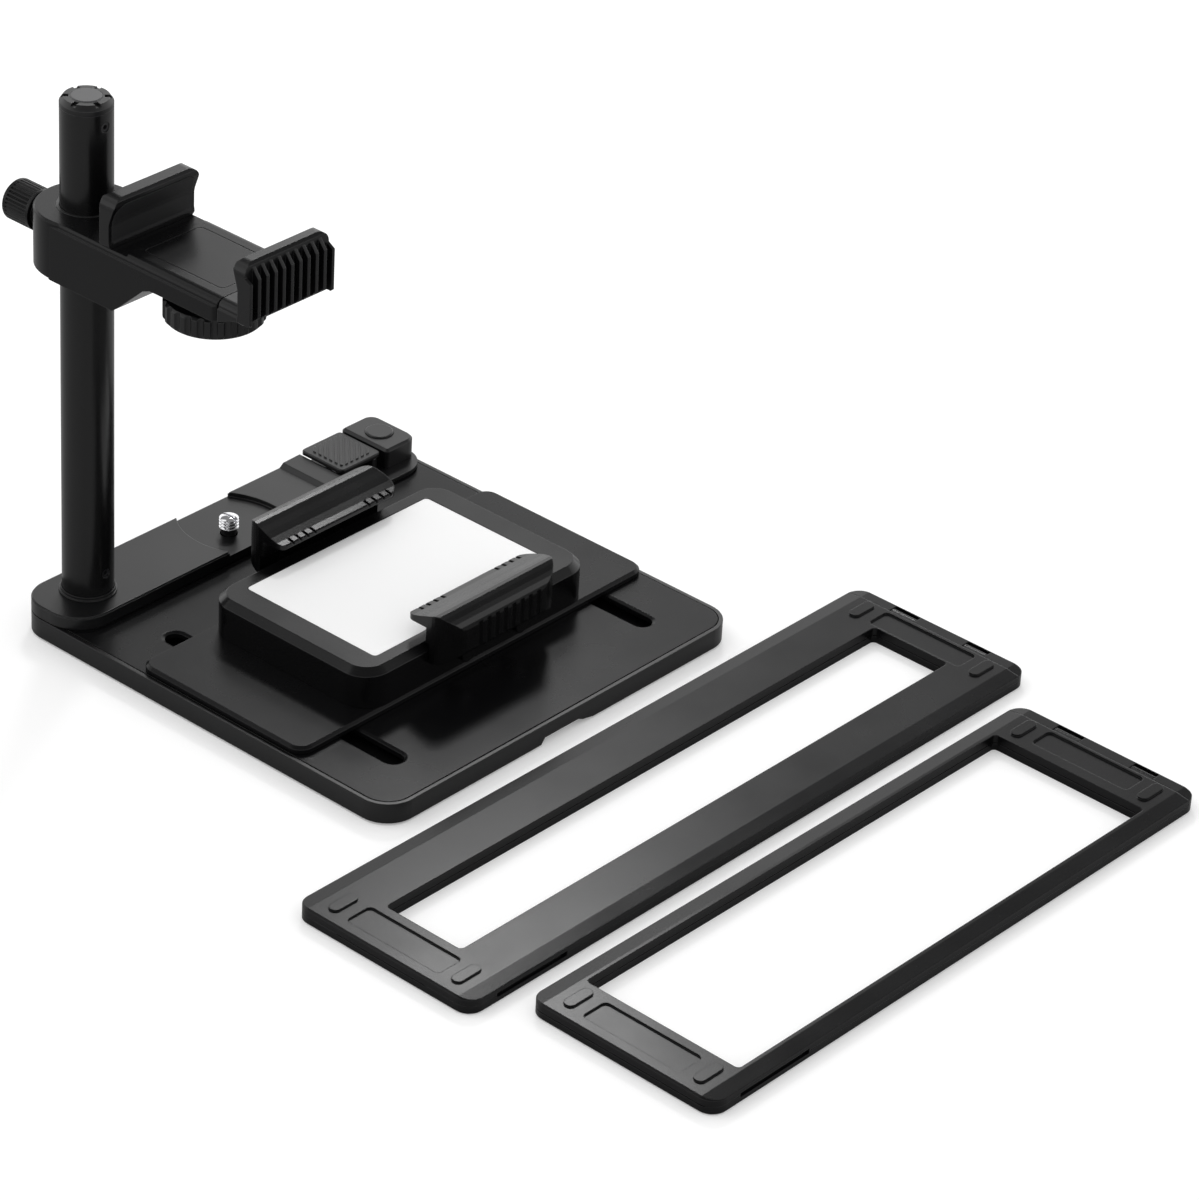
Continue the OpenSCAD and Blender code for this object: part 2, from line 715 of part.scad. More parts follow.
module pad_pin() {
    color(steel) rod_y_axis(pad_axis_x, pad_axis_z, pad_y0 + 0.8, pad_y1 - 0.8, pad_pin_r);
}

// Thumb pad with slanted ribs, hinged beside the end block
module press_pad() {
    ribs = 7;
    y0 = pad_y0 + pad_lug_w + 1.1;
    y1 = pad_y1 - pad_lug_w - 1.1;
    color(charcoal) difference() {
        union() {
            slab(pad_x0, pad_x1, pad_y0, pad_y1, pad_z0, pad_z0 + pad_t - 0.3, 1.5);
            frustum(pad_x0, pad_x1, pad_y0, pad_y1, pad_z0 + pad_t - 0.3, pad_z0 + pad_t, 1.5, 0.3);
            rod_y_axis(pad_axis_x, pad_axis_z, y0, y1, pad_barrel_r);
            box(pad_axis_x - pad_barrel_r, pad_axis_x + pad_barrel_r, y0, y1, pad_axis_z, pad_z0 + 0.5);
        }
        rod_y_axis(pad_axis_x, pad_axis_z, pad_y0 - 1, pad_y1 + 1, pad_pin_r + run_fit);
        for (y = pad_lugs_y) box(pad_axis_x - 1.9, pad_axis_x + 1.9, y - 0.4, y + pad_lug_w + 0.4,
            pad_axis_z - 3, pad_axis_z + pad_barrel_r + 0.25);
    }
    color(charcoal) intersection() {
        slab(pad_x0 + 2, pad_x1 - 2, pad_y0 + 2, pad_y1 - 2, pad_z0 + pad_t - 0.2, pad_z0 + pad_t + 1, 1);
        for (k = [-ribs : ribs])
            translate([(pad_x0 + pad_x1) / 2 + k * 2.4, (pad_y0 + pad_y1) / 2, pad_z0 + pad_t - 0.5])
                rotate(-45) box(-0.45, 0.45, -20, 20, 0, 0.9);
    }
}

module pad_spring() {
    color(steel) translate([pad_x0 + 4.5, (pad_y0 + pad_y1) / 2, pad_spring_z0]) difference() {
        cylinder(h = pad_z0 - 1.9 - pad_spring_z0, r = 2);
        translate([0, 0, -1]) cylinder(h = 9, r = 1.4);
    }
}

// Column
module column() {
    color(soft_black) difference() {
        rod_z_axis(col_x, col_y, col_z0, cap_z0, col_r);
        rod_z_axis(col_x, col_y, col_z0 - 1, cap_z0 + 1, bore_r);
        for (z = [low_screw_z, high_screw_z])
            rod_y_axis(col_x, z, col_y - col_r - 1, col_y, set_screw_r + snug);
    }
}

module column_plug() {
    color(steel) difference() {
        rod_z_axis(col_x, col_y, col_z0, col_z0 + plug_h, bore_r - snug);
        rod_z_axis(col_x, col_y, col_z0 - 1, col_z0 + 11, bolt_r + snug);
        rod_y_axis(col_x, low_screw_z, col_y - col_r, col_y - col_r + 4.1, set_screw_r + snug);
    }
}

module column_foot() {
    color(charcoal) difference() {
        union() {
            rod_z_axis(col_x, col_y, rail_z1, rail_z1 + 0.6, col_r + 0.9);
            rod_z_axis(col_x, col_y, rail_z1, rail_z1 + 1.6, col_r + 0.5);
        }
        rod_z_axis(col_x, col_y, rail_z1 - 1, rail_z1 + 3, col_r + 0.05);
    }
}

module column_cap() {
    color(charcoal) difference() {
        union() {
            rod_z_axis(col_x, col_y, cap_z0 - 9, cap_z0, bore_r - snug);
            rod_z_axis(col_x, col_y, cap_z0, col_top - cap_bevel, col_r);
            translate([col_x, col_y, col_top - cap_bevel]) cylinder(h = cap_bevel, r1 = col_r, r2 = col_r - 1.1);
        }
        rod_z_axis(col_x, col_y, col_top - 0.8, col_top + 1, cap_disc_r + snug);
        for (a = [15 : 60 : 315]) translate([col_x, col_y, col_top - 0.8]) rotate(a)
            box(cap_disc_r + 0.5, col_r + 1, -0.8, 0.8, 0, 1);
        rod_y_axis(col_x, high_screw_z, col_y - col_r, col_y - col_r + 4.1, set_screw_r + snug);
    }
}

module cap_disc() {
    color([0.45, 0.45, 0.46]) {
        rod_z_axis(col_x, col_y, col_top - 0.8, col_top, cap_disc_r);
        translate([col_x, col_y, col_top - eps]) cylinder(h = 0.25, r1 = cap_disc_r, r2 = cap_disc_r - 0.25);
    }
}

module column_bolt() {
    z = tray_z0 + 0.2;
    color(steel) difference() {
        union() {
            rod_z_axis(col_x, col_y, z, tray_z0 + 2.6, 5);
            rod_z_axis(col_x, col_y, z, col_z0 + 10, bolt_r);
        }
        rod_z_axis(col_x, col_y, z - 1, z + 1.6, 1.8);
    }
}

module column_set_screws() {
    color(steel) for (z = [low_screw_z, high_screw_z]) difference() {
        rod_y_axis(col_x, z, col_y - col_r + 0.3, col_y - col_r + 4, set_screw_r);
        rod_y_axis(col_x, z, col_y - col_r, col_y - col_r + 1.5, set_screw_r / 2);
    }
}

// Slotted stud with a domed end on the accessory seat
module accessory_stud() {
    z0 = base_h;
    z1 = rail_z1 - seat_depth + stud_h;
    color([0.8, 0.8, 0.82]) difference() {
        union() {
            rod_z_axis(stud_x, stud_y, z0, z0 + 1.8, 5);
            rod_z_axis(stud_x, stud_y, z0, rail_z1 - seat_depth + 0.3, stud_shank_r);
            rod_z_axis(stud_x, stud_y, rail_z1 - seat_depth + 0.25, z1 - 0.9, stud_r);
            translate([stud_x, stud_y, z1 - 0.9]) intersection() {
                translate([0, 0, -5.13]) sphere(r = 6.03);
                cylinder(h = 3, r = stud_r);
            }
        }
        box(stud_x - 0.45, stud_x + 0.45, stud_y - 5, stud_y + 5, z1 - 1.4, z1 + 1);
    }
}

// Light panel and its slide plate
module slide_plate() {
    color(charcoal) difference() {
        union() {
            slab(plate_x0, plate_x1, plate_y0, plate_y1, plate_z0, plate_z1 - 0.9, plate_r);
            frustum(plate_x0, plate_x1, plate_y0, plate_y1, plate_z1 - 0.9, plate_z1, plate_r, 0.9);
        }
        for (p = shoe_pts) rod_z_axis(p[0], p[1], plate_z0 - 1, plate_z1 - 0.5, screw_r + snug);
        for (p = case_posts) screw_hole(p[0], p[1], plate_z0, 12);
    }
}

module slot_shoes() {
    z0 = cover_z0 - 2.2;
    color(soft_black) for (p = shoe_pts) difference() {
        union() {
            rod_z_axis(p[0], p[1], z0, cover_z0 - 0.2, slot_w / 2 + 1.6);
            rod_z_axis(p[0], p[1], z0, plate_z0, shoe_r);
        }
        screw_hole(p[0], p[1], z0, 12);
    }
}

module shoe_screws() {
    z0 = cover_z0 - 2.2;
    color(steel) for (p = shoe_pts) screw_up(p[0], p[1], z0, plate_z1 - 0.7 - z0);
}

module light_case() {
    color(charcoal) difference() {
        union() {
            difference() {
                bevel_slab(case_x0, case_x1, case_y0, case_y1, plate_z1, case_z1, case_r, case_bevel, case_bevel);
                slab(case_x0 + case_wall, case_x1 - case_wall, case_y0 + case_wall, case_y1 - case_wall,
                    plate_z1 - 1, roof_z0, case_r - case_wall);
            }
            for (p = case_posts) rod_z_axis(p[0], p[1], back_z1, roof_z0 + eps, post_case_r);
            for (x = rod_xs, s = [-1, 1]) rod_y_axis(x, rod_z,
                panel_cy + (s < 0 ? -case_d / 2 + 1 : boss_in), panel_cy + (s < 0 ? -boss_in : case_d / 2 - 1),
                rod_boss_r);
        }
        slab(panel_cx - diff_w / 2, panel_cx + diff_w / 2, panel_cy - diff_d / 2, panel_cy + diff_d / 2,
            diff_z0, case_z1 + 1, 1.5);
        slab(panel_cx - diff_w / 2 + 2, panel_cx + diff_w / 2 - 2, panel_cy - diff_d / 2 + 2,
            panel_cy + diff_d / 2 - 2, roof_z0 - 1, case_z1, 1.5);
        for (p = case_posts) rod_z_axis(p[0], p[1], plate_z0, plate_z0 + 12.3, screw_r + snug);
        for (x = rod_xs) rod_y_axis(x, rod_z, case_y0 - 1, case_y1 + 1, rod_r + run_fit);
        rod_x_axis(button_y, button_z, case_x1 - case_wall - 1, case_x1 + 1, button_r + 0.15);
        port_hole(0.1, case_x1 - 5, case_x1 + 1);
    }
}

module port_hole(gap, x0, x1) {
    w = 8.9 + 2 * gap;
    h = 3.2 + 2 * gap;
    translate([x0, port_y, back_z1 + 1.6]) rotate([90, 0, 90]) linear_extrude(x1 - x0)
        round_rect(-w / 2, w / 2, -h / 2, h / 2, h / 2 - 0.01);
}

module light_back() {
    inset = case_wall + 0.15;
    color(soft_black) difference() {
        union() {
            slab(case_x0 + inset, case_x1 - inset, case_y0 + inset, case_y1 - inset, plate_z1, back_z1,
                case_r - inset);
            for (sx = [-1, 1], sy = [-1, 1])
                rod_z_axis(panel_cx + sx * (board_w / 2 - 3), panel_cy + sy * (board_d / 2 - 3), back_z1 - eps,
                    led_z0, 2);
        }
        for (p = case_posts) rod_z_axis(p[0], p[1], plate_z0, plate_z0 + 12, screw_r + 0.1);
    }
}

module diffuser() {
    g = 0.12;
    color([0.96, 0.96, 0.95]) slab(panel_cx - diff_w / 2 + g, panel_cx + diff_w / 2 - g,
        panel_cy - diff_d / 2 + g, panel_cy + diff_d / 2 - g, diff_z0, diff_z1, 1.4);
}

module led_board() {
    color([0.1, 0.35, 0.2]) slab(panel_cx - board_w / 2, panel_cx + board_w / 2, panel_cy - board_d / 2,
        panel_cy + board_d / 2, led_z0, led_z0 + led_t, 2);
}

module led_chips() {
    color([0.95, 0.9, 0.6]) for (i = [-4 : 4], j = [-2 : 2])
        translate([panel_cx + i * 7.6 - 1.75, panel_cy + j * 9 - 1.4, led_z0 + led_t]) cube([3.5, 2.8, 0.7]);
}

module battery() {
    color([0.5, 0.5, 0.55]) slab(panel_cx - 28, panel_cx + 30, panel_cy - 10, panel_cy + 10,
        back_z1, back_z1 + 4.2, 2);
}

module usb_port() {
    color(steel) difference() {
        union() {
            port_hole(0, case_x1 - 7.3, case_x1);
            box(case_x1 - 7.3, case_x1 - 4, port_y - 3.4, port_y + 3.4, back_z1, back_z1 + 1);
        }
        port_hole(-0.35, case_x1 - 6, case_x1 + 1);
    }
}

module case_screws() {
    color(steel) for (p = case_posts) screw_up(p[0], p[1], plate_z0, 11.5);
}

module power_button() {
    inner = case_x1 - case_wall;
    color([0.2, 0.2, 0.21]) {
        rod_x_axis(button_y, button_z, inner - 1.6, case_x1 + 1, button_r);
        rod_x_axis(button_y, button_z, inner - 1.6, inner - 0.1, button_r + 0.9);
    }
}

module power_switch() {
    x1 = case_x1 - case_wall - 2.7;
    color(steel) box(x1 - 3, x1, button_y - 3, button_y + 3, back_z1, button_z + 2.5);
}

// Film guide, drawn for the back; r is the distance from the guides' centre line
module guide_profile() {
    tip = guide_r0 - lip_reach;
    polygon([[tip + 0.5, lip_z], [tip + 0.1, lip_z + 0.3], [tip, lip_z + 0.8], [tip + 0.2, lip_z + 1.3],
        [tip + 0.7, lip_z + 1.6], [tip + 2.7, lip_z + 2], [tip + 5.2, lip_z + 2.7], [tip + 7.5, lip_z + 3.6],
        [tip + 9.7, lip_z + 4.4], [guide_r1 - 6.5, guide_z1 - 0.2], [guide_r1 - 5, guide_z1],
        [guide_r1 - 3.5, guide_z1 - 0.5], [guide_r1 - 2.2, guide_z1 - 1.3], [guide_r1 - 1.1, guide_z1 - 2.4],
        [guide_r1 - 0.35, guide_z1 - 3.8], [guide_r1, guide_z1 - 5.2], [guide_r1, guide_z0 + 4.2],
        [guide_r1 - 0.4, guide_z0 + 3.4], [guide_r1 - 3.5, guide_z0 + 1.2], [leg_r + 1.2, guide_z0],
        [leg_r, guide_z0], [leg_r, leg_z], [guide_r0, leg_z], [guide_r0, lip_z]]);
}

// Plan of a guide: small corners at its left end and a nearly round right end
module guide_plan() {
    tip = guide_r0 - lip_reach;
    depth = guide_t + lip_reach;
    nose = depth / 6;
    inner = depth / 3;
    outer = depth * 0.64;
    c = guide_corner;
    polygon(concat(arc(lip_x0 + nose, tip + nose, nose, 180), arc(lip_x1 - inner, tip + inner, inner, 270),
        arc(lip_x1 - outer, guide_r1 - outer, outer, 0), arc(lip_x0 + c, guide_r1 - c, c, 90)));
}

module guide_pocket() {
    boss = 4.2;
    slab(rod_xs[0] + boss, rod_xs[1] - boss, leg_r + 2, guide_r1 - 2.2, guide_z0 - 1, guide_z1 - 3.5, 1);
}

module guide_body() {
    groove_x0 = guide_cx + 0.3 - (rib_count - 1) * rib_pitch / 2;
    difference() {
        union() {
            intersection() {
                translate([lip_x0 - 1, 0, 0]) rotate([90, 0, 90]) linear_extrude(lip_len + 2) guide_profile();
                translate([0, 0, guide_z0 - 1]) linear_extrude(guide_z1 - guide_z0 + 2) guide_plan();
            }
            for (x = rod_xs) {
                rod_y_axis(x, rod_z, leg_r, rod_out + 0.8, rod_boss_r);
                box(x - rod_boss_r, x + rod_boss_r, leg_r, rod_out + 0.8, rod_z, guide_z0 + 5);
            }
        }
        guide_pocket();
        for (x = rod_xs) rod_y_axis(x, rod_z, leg_r - 1, rod_out + eps, rod_r + snug);
        for (k = [0 : rib_count - 1])
            rod_z_axis(groove_x0 + k * rib_pitch, guide_r1 + 0.35, guide_z0 + 1, guide_z1 - 4.6, 1);
        for (k = [0 : 3]) lip_notch(lip_x0 + 4.8 + k * 3.15);
        for (k = [0 : 3]) lip_notch(lip_x1 - 4.9 - k * 3.2);
    }
}

module lip_notch(x) {
    r = guide_r0 - lip_reach;
    box(x - 0.5, x + 0.5, r - 1, r + 2.6, lip_z + 0.9, guide_z1);
}

module guide_rods_raw() {
    for (x = rod_xs) {
        rod_y_axis(x, rod_z, rod_in, rod_out, rod_r);
        rod_y_axis(x, rod_z, rod_in, rod_in + 1, rod_r + 0.5);
    }
}

module guide_springs_raw() {
    for (x = rod_xs) difference() {
        rod_y_axis(x, rod_z, rod_in + 1, rod_in + 6.8, rod_r + 0.55);
        rod_y_axis(x, rod_z, rod_in, rod_in + 10, rod_r + 0.1);
    }
}

module to_back() {
    translate([0, guide_cy, 0]) children();
}

module to_front() {
    translate([0, guide_cy, 0]) mirror([0, 1, 0]) children();
}

module front_guide() {
    color(charcoal) to_front() guide_body();
}

module back_guide() {
    color(charcoal) to_back() guide_body();
}

module front_guide_rods() {
    color(steel) to_front() guide_rods_raw();
}

module back_guide_rods() {
    color(steel) to_back() guide_rods_raw();
}

module front_guide_springs() {
    color(steel) to_front() guide_springs_raw();
}

module back_guide_springs() {
    color(steel) to_back() guide_springs_raw();
}

// Phone arm on the column
module column_bush() {
    color([0.85, 0.85, 0.82]) difference() {
        rod_z_axis(col_x, col_y, collar_z0, collar_top, bush_or);
        rod_z_axis(col_x, col_y, collar_z0 - 1, collar_top + 1, col_r + run_fit);
        box(col_x - 0.6, col_x + 0.6, col_y + 2, col_y + 20, collar_z0 - 1, collar_top + 1);
    }
}

module arm_side() {
    polygon([[col_y, collar_z0], [38.8, collar_z0], [36.6, collar_z0 + 1.6], [26, arm_z0 - 1.2],
        [23.2, arm_z0 - 0.1], [20, arm_z0], [arm_front + 3, arm_z0], [arm_front, arm_z0 + 0.9],
        [arm_front, crown_z], [33.6, crown_z], [33.6, collar_top], [col_y, collar_top]]);
}

// Section of the arm: a ridge along each side below the rounded shoulders
module arm_section() {
    shoulder = 2.4;
    w = half_arm - 0.5;
    polygon(concat([[-half_arm, collar_z0 - 1], [half_arm, collar_z0 - 1], [half_arm, crown_z - 2.8],
        [half_arm - 0.3, crown_z - 2.5]],
        [for (a = [0 : 15 : 90]) [w - shoulder + shoulder * cos(a), crown_z - shoulder + shoulder * sin(a)]],
        [for (a = [90 : 15 : 180]) [-w + shoulder + shoulder * cos(a), crown_z - shoulder + shoulder * sin(a)]],
        [[-half_arm + 0.3, crown_z - 2.5], [-half_arm, crown_z - 2.8]]));
}

module arm_block() {
    intersection() {
        translate([arm_x - 30, 0, 0]) rotate([90, 0, 90]) linear_extrude(60) arm_side();
        translate([arm_x, col_y + 1, 0]) rotate([90, 0, 0]) linear_extrude(col_y - arm_front + 2) arm_section();
        translate([0, 0, collar_z0 - 1]) linear_extrude(60)
            round_rect(arm_x - half_arm, arm_x + half_arm, arm_front, col_y + 1, 2);
    }
}

module arm() {
    color(charcoal) difference() {
        union() {
            arm_block();
            rod_z_axis(col_x, col_y, collar_z0 + 0.6, collar_top - 0.6, collar_r);
            translate([col_x, col_y, collar_top - 0.6]) cylinder(h = 0.6, r1 = collar_r, r2 = collar_r - 0.6);
            translate([col_x, col_y, collar_z0]) cylinder(h = 0.6, r1 = collar_r - 0.6, r2 = collar_r);
        }
        rod_z_axis(col_x, col_y, collar_z0 - 1, collar_top + 1, arm_bore_r);
        box(drive_x - rack_w / 2 - 0.15, drive_x + rack_w / 2 + 0.15, arm_front - 1, rack_back + 0.7,
            channel_z0, channel_z1);
        slab(arm_x - arm_cover_w / 2 - arm_cover_seam, arm_x + arm_cover_w / 2 + arm_cover_seam,
            arm_cover_y0 - arm_cover_seam, arm_cover_y1 + arm_cover_seam, arm_cover_z0, crown_z + 1,
            1.8 + arm_cover_seam);
        box(drive_x - rack_w / 2 - 0.15, drive_x + rack_w / 2 + 0.15, arm_cover_y0 + 1, arm_cover_y1 - 1,
            channel_z0, crown_z);
        rod_z_axis(drive_x, knob_y, arm_z0 - 1, channel_z0 + 1, 2 + run_fit);
        rod_y_axis(col_x, side_z, col_y + arm_bore_r - 1, col_y + collar_r + 1, clamp_r + run_fit);
        for (s = [-1, 1]) {
            rod_z_axis(arm_x + s * jaw_screw_dx, jaw_screw_y, collar_z0 - 1, collar_top - 11, 2.8);
            rod_z_axis(arm_x + s * jaw_screw_dx, jaw_screw_y, collar_z0, collar_top + 1, screw_r + snug);
        }
    }
}

module arm_cover() {
    color([0.15, 0.15, 0.16]) slab(arm_x - arm_cover_w / 2, arm_x + arm_cover_w / 2, arm_cover_y0, arm_cover_y1,
        arm_cover_z0, crown_z, 1.8);
}

module jaw_front_shape(w, z0, z1, low_bevel) {
    polygon(concat([[-w / 2 + low_bevel, z0], [w / 2 - low_bevel, z0], [w / 2, z0 + low_bevel]],
        [for (a = [0 : 10 : 90]) [w / 2 - jaw_r + jaw_r * cos(a), z1 - jaw_r + jaw_r * sin(a)]],
        [for (a = [90 : 10 : 180]) [-w / 2 + jaw_r + jaw_r * cos(a), z1 - jaw_r + jaw_r * sin(a)]],
        [[-w / 2, z0 + low_bevel]]));
}

// Side outline of a jaw; the gripping face looks along +Y and has a waist under its lip
module jaw_side_shape(t, z0, z1, waist) {
    polygon([[0, z0], [t - waist + 0.2, z0], [t - waist + 0.2, z0 + 1.4], [t - waist, z0 + 2.4], [t - waist, z1 - 9],
        [t - waist + 0.3, z1 - 7.6], [t - 0.5, z1 - 3.8], [t, z1 - 2.6], [t, z1 - 0.9], [t - 0.8, z1], [1, z1],
        [0, z1 - 0.8]]);
}

module fixed_jaw() {
    z1 = collar_top + fixed_h;
    color(charcoal) difference() {
        intersection() {
            translate([arm_x, fixed_y + 1, 0]) rotate([90, 0, 0]) linear_extrude(jaw_t + 2)
                jaw_front_shape(fixed_w, collar_top, z1, 0.8);
            translate([arm_x + 30, fixed_y, 0]) rotate([90, 0, -90]) linear_extrude(60)
                jaw_side_shape(jaw_t, collar_top, z1, jaw_waist);
        }
        fixed_pad_shape(0.08);
        for (s = [-1, 1]) rod_z_axis(arm_x + s * jaw_screw_dx, jaw_screw_y, collar_top - 1,
            jaw_screw_z0 + jaw_screw_l + 0.3, screw_r + snug);
    }
}

// Rubber layer that follows the gripping face inside a narrow rim
module fixed_pad_shape(grow) {
    z0 = collar_top;
    z1 = collar_top + fixed_h;
    t = jaw_t - jaw_waist;
    face = [[t + 0.2, z0 + 1.4], [t, z0 + 2.4], [t, z1 - 9], [t + 0.3, z1 - 7.6], [jaw_t - 0.5, z1 - 3.8],
        [jaw_t - 0.2, z1 - 3], [jaw_t, z1 - 2]];
    intersection() {
        translate([arm_x, fixed_y + 1, 0]) rotate([90, 0, 0]) linear_extrude(jaw_t + 2)
            jaw_front_shape(fixed_w - 2.4 + 2 * grow, z0 + 1.4 - grow, z1 - 2.2 + grow, 0.6);
        translate([arm_x + 30, fixed_y, 0]) rotate([90, 0, -90]) linear_extrude(60)
            polygon(concat([for (p = face) p + [0.15, 0]],
                [for (k = [len(face) - 1 : -1 : 0]) face[k] - [0.7 + grow, 0]]));
    }
}

module fixed_jaw_pad() {
    color(soft_black) fixed_pad_shape(0);
}

module jaw_screws() {
    color(steel) for (s = [-1, 1]) translate([arm_x + s * jaw_screw_dx, jaw_screw_y, jaw_screw_z0]) difference() {
        union() {
            cylinder(h = 1.6, r = 2.4);
            cylinder(h = jaw_screw_l, r = screw_r);
        }
        for (a = [0, 90]) rotate(a) translate([-1.4, -0.25, -eps]) cube([2.8, 0.5, 0.8]);
    }
}

// Front jaw with a ribbed face and a foot that carries on the arm's outline
module front_jaw() {
    z0 = arm_z0 + 4;
    z1 = collar_top + fixed_h + 0.2;
    face_y = front_jaw_y0 + jaw_rib_t;
    color(charcoal) difference() {
        union() {
            intersection() {
                translate([drive_x, front_jaw_y1 + 1, 0]) rotate([90, 0, 0]) linear_extrude(front_t + 2)
                    jaw_front_shape(front_w, z0, z1, 0.4);
                translate([drive_x - 30, face_y, 0]) rotate([90, 0, 90]) linear_extrude(60)
                    jaw_side_shape(front_t - jaw_rib_t, z0, z1, 2);
            }
            jaw_ribs(z0, z1, face_y);
            jaw_foot();
        }
        front_pad_shape(0.08);
        box(drive_x - rack_w / 2 - snug, drive_x + rack_w / 2 + snug, rack_front - snug, arm_front + 1,
            rack_z0 - snug, rack_z1 + snug);
    }
}

module jaw_ribs(z0, z1, face_y) {
    ribs = 9;
    for (k = [0 : ribs - 1]) translate([drive_x + (k - (ribs - 1) / 2) * jaw_rib_pitch - jaw_rib_w / 2, 0, 0])
        rotate([90, 0, 90]) linear_extrude(jaw_rib_w)
            polygon([[face_y + 0.5, z0 + 0.2], [face_y, z0 + 0.2], [front_jaw_y0, z0 + 2.2], [front_jaw_y0, z1 - 4.6],
                [face_y, z1 - 1.6], [face_y + 0.5, z1 - 1.6]]);
    for (s = [-1, 1]) translate([drive_x + s * (front_w / 2 - 0.5) - 0.5, 0, 0])
        rotate([90, 0, 90]) linear_extrude(1)
            polygon([[face_y + 0.5, z0 + 0.4], [front_jaw_y0 + 0.4, z0 + 0.4], [front_jaw_y0, z0 + 0.8],
                [front_jaw_y0, z1 - 5.4], [face_y, z1 - 4], [face_y + 0.5, z1 - 4]]);
}

module jaw_foot() {
    y1 = arm_front - slack;
    intersection() {
        translate([arm_x, y1, 0]) rotate([90, 0, 0]) linear_extrude(y1 - front_jaw_y0) arm_section();
        translate([arm_x - 30, 0, 0]) rotate([90, 0, 90]) linear_extrude(60)
            polygon([[y1, arm_z0 + 0.9], [y1, crown_z], [front_jaw_y1 - 2, crown_z],
                [front_jaw_y0 + jaw_rib_t + 0.3, arm_z0 + 4.2], [front_jaw_y1 - 2.2, arm_z0 + 3.9],
                [front_jaw_y1 + 1.3, arm_z0 + 3.2], [front_jaw_y1 + 4.2, arm_z0 + 1.8]]);
    }
}

module front_pad_shape(grow) {
    y1 = front_jaw_y1 - 2;
    z0 = rack_z0 + 5.2;
    z1 = collar_top + fixed_h - 6;
    translate([0, y1 + 0.5, 0]) rotate([90, 0, 0]) linear_extrude(1.3 + grow)
        round_rect(drive_x - 12.5 - grow, drive_x + 12.5 + grow, z0 - grow, z1 + grow, 1.2);
}

module front_jaw_pad() {
    color(soft_black) front_pad_shape(0);
}

// Rack plate with a window for the pinion; its teeth face +X
module rack() {
    pitch = 3.14159265 * gear_m;
    tooth_h = rack_root + 0.5;
    root_x = -pitch_r - rack_root;
    top_half = pitch / 4 - 0.08 - 0.5 * tan(20);
    low_half = top_half + tooth_h * tan(20);
    win_y0 = knob_y - pinion_tip_r - 0.6;
    win_y1 = rack_back - 2;
    tooth_n = floor((win_y1 - win_y0 - 2) / pitch);
    first_y = knob_y + pitch / 2 - pitch * floor((knob_y - win_y0) / pitch);
    color(steel) translate([drive_x, 0, rack_z0]) linear_extrude(rack_t) {
        difference() {
            translate([-rack_w / 2, rack_front]) square([rack_w, rack_back - rack_front]);
            translate([root_x, win_y0]) square([pinion_tip_r + 0.3 - root_x, win_y1 - win_y0]);
        }
        for (k = [0 : tooth_n - 1]) translate([root_x, first_y + k * pitch])
            polygon([[-0.2, -low_half], [0, -low_half], [tooth_h, -top_half], [tooth_h, top_half],
                [0, low_half], [-0.2, low_half]]);
    }
}

// Pinion with involute teeth and its shaft
module pinion() {
    base_circle = pitch_r * cos(20);
    half_pitch_angle = 90 / gear_teeth - 1.0;
    inv_pitch = tan(20) * 180 / 3.14159265 - 20;
    root_r = pitch_r - 0.75;
    steps = 5;
    flank = [for (i = [0 : steps]) base_circle + (pinion_tip_r - base_circle) * i / steps];
    color(steel) {
        translate([drive_x, knob_y, rack_z0]) linear_extrude(rack_t) {
            circle(r = root_r);
            for (k = [0 : gear_teeth - 1]) rotate(k * 360 / gear_teeth) polygon(concat(
                [[0, 0], root_r * [cos(tooth_half(base_circle, half_pitch_angle, inv_pitch)),
                    -sin(tooth_half(base_circle, half_pitch_angle, inv_pitch))]],
                [for (r = flank) r * [cos(tooth_half(r, half_pitch_angle, inv_pitch)),
                    -sin(tooth_half(r, half_pitch_angle, inv_pitch))]],
                [for (i = [steps : -1 : 0]) flank[i] * [cos(tooth_half(flank[i], half_pitch_angle, inv_pitch)),
                    sin(tooth_half(flank[i], half_pitch_angle, inv_pitch))]],
                [root_r * [cos(tooth_half(base_circle, half_pitch_angle, inv_pitch)),
                    sin(tooth_half(base_circle, half_pitch_angle, inv_pitch))]]));
        }
        rod_z_axis(drive_x, knob_y, knob_z0 + 2, rack_z0 + eps, 2);
    }
}

// Half the angle that a tooth spans at radius r
function tooth_half(r, half_angle, inv_pitch) =
    let (a = acos(min(1, pitch_r * cos(20) / r))) half_angle + inv_pitch - (tan(a) * 180 / 3.14159265 - a);

module jaw_knob() {
    r = knob_d / 2;
    color(charcoal) difference() {
        translate([drive_x, knob_y, 0]) difference() {
            union() {
                translate([0, 0, knob_z0]) cylinder(h = 0.8, r1 = r - 0.8, r2 = r);
                translate([0, 0, knob_z0 + 0.8]) cylinder(h = knob_h - 1.6, r = r);
                translate([0, 0, knob_z1 - 0.8]) cylinder(h = 0.8, r1 = r, r2 = r - 0.8);
                translate([0, 0, knob_z1 - eps]) cylinder(h = knob_drop - slack, r = 8);
            }
            for (k = [0 : flute_count - 1]) rotate(k * 360 / flute_count)
                translate([r + 0.5, 0, knob_z0 - 1]) cylinder(h = knob_h + 2, r = 1.25, $fn = 24);
        }
        rod_z_axis(drive_x, knob_y, knob_z0 + 2 - snug, arm_z0, 2 + snug);
    }
}

module clamp_shoe() {
    color([0.75, 0.6, 0.3]) rod_y_axis(col_x, side_z, col_y + bush_or + 0.35, col_y + bush_or + 1.5, clamp_r);
}

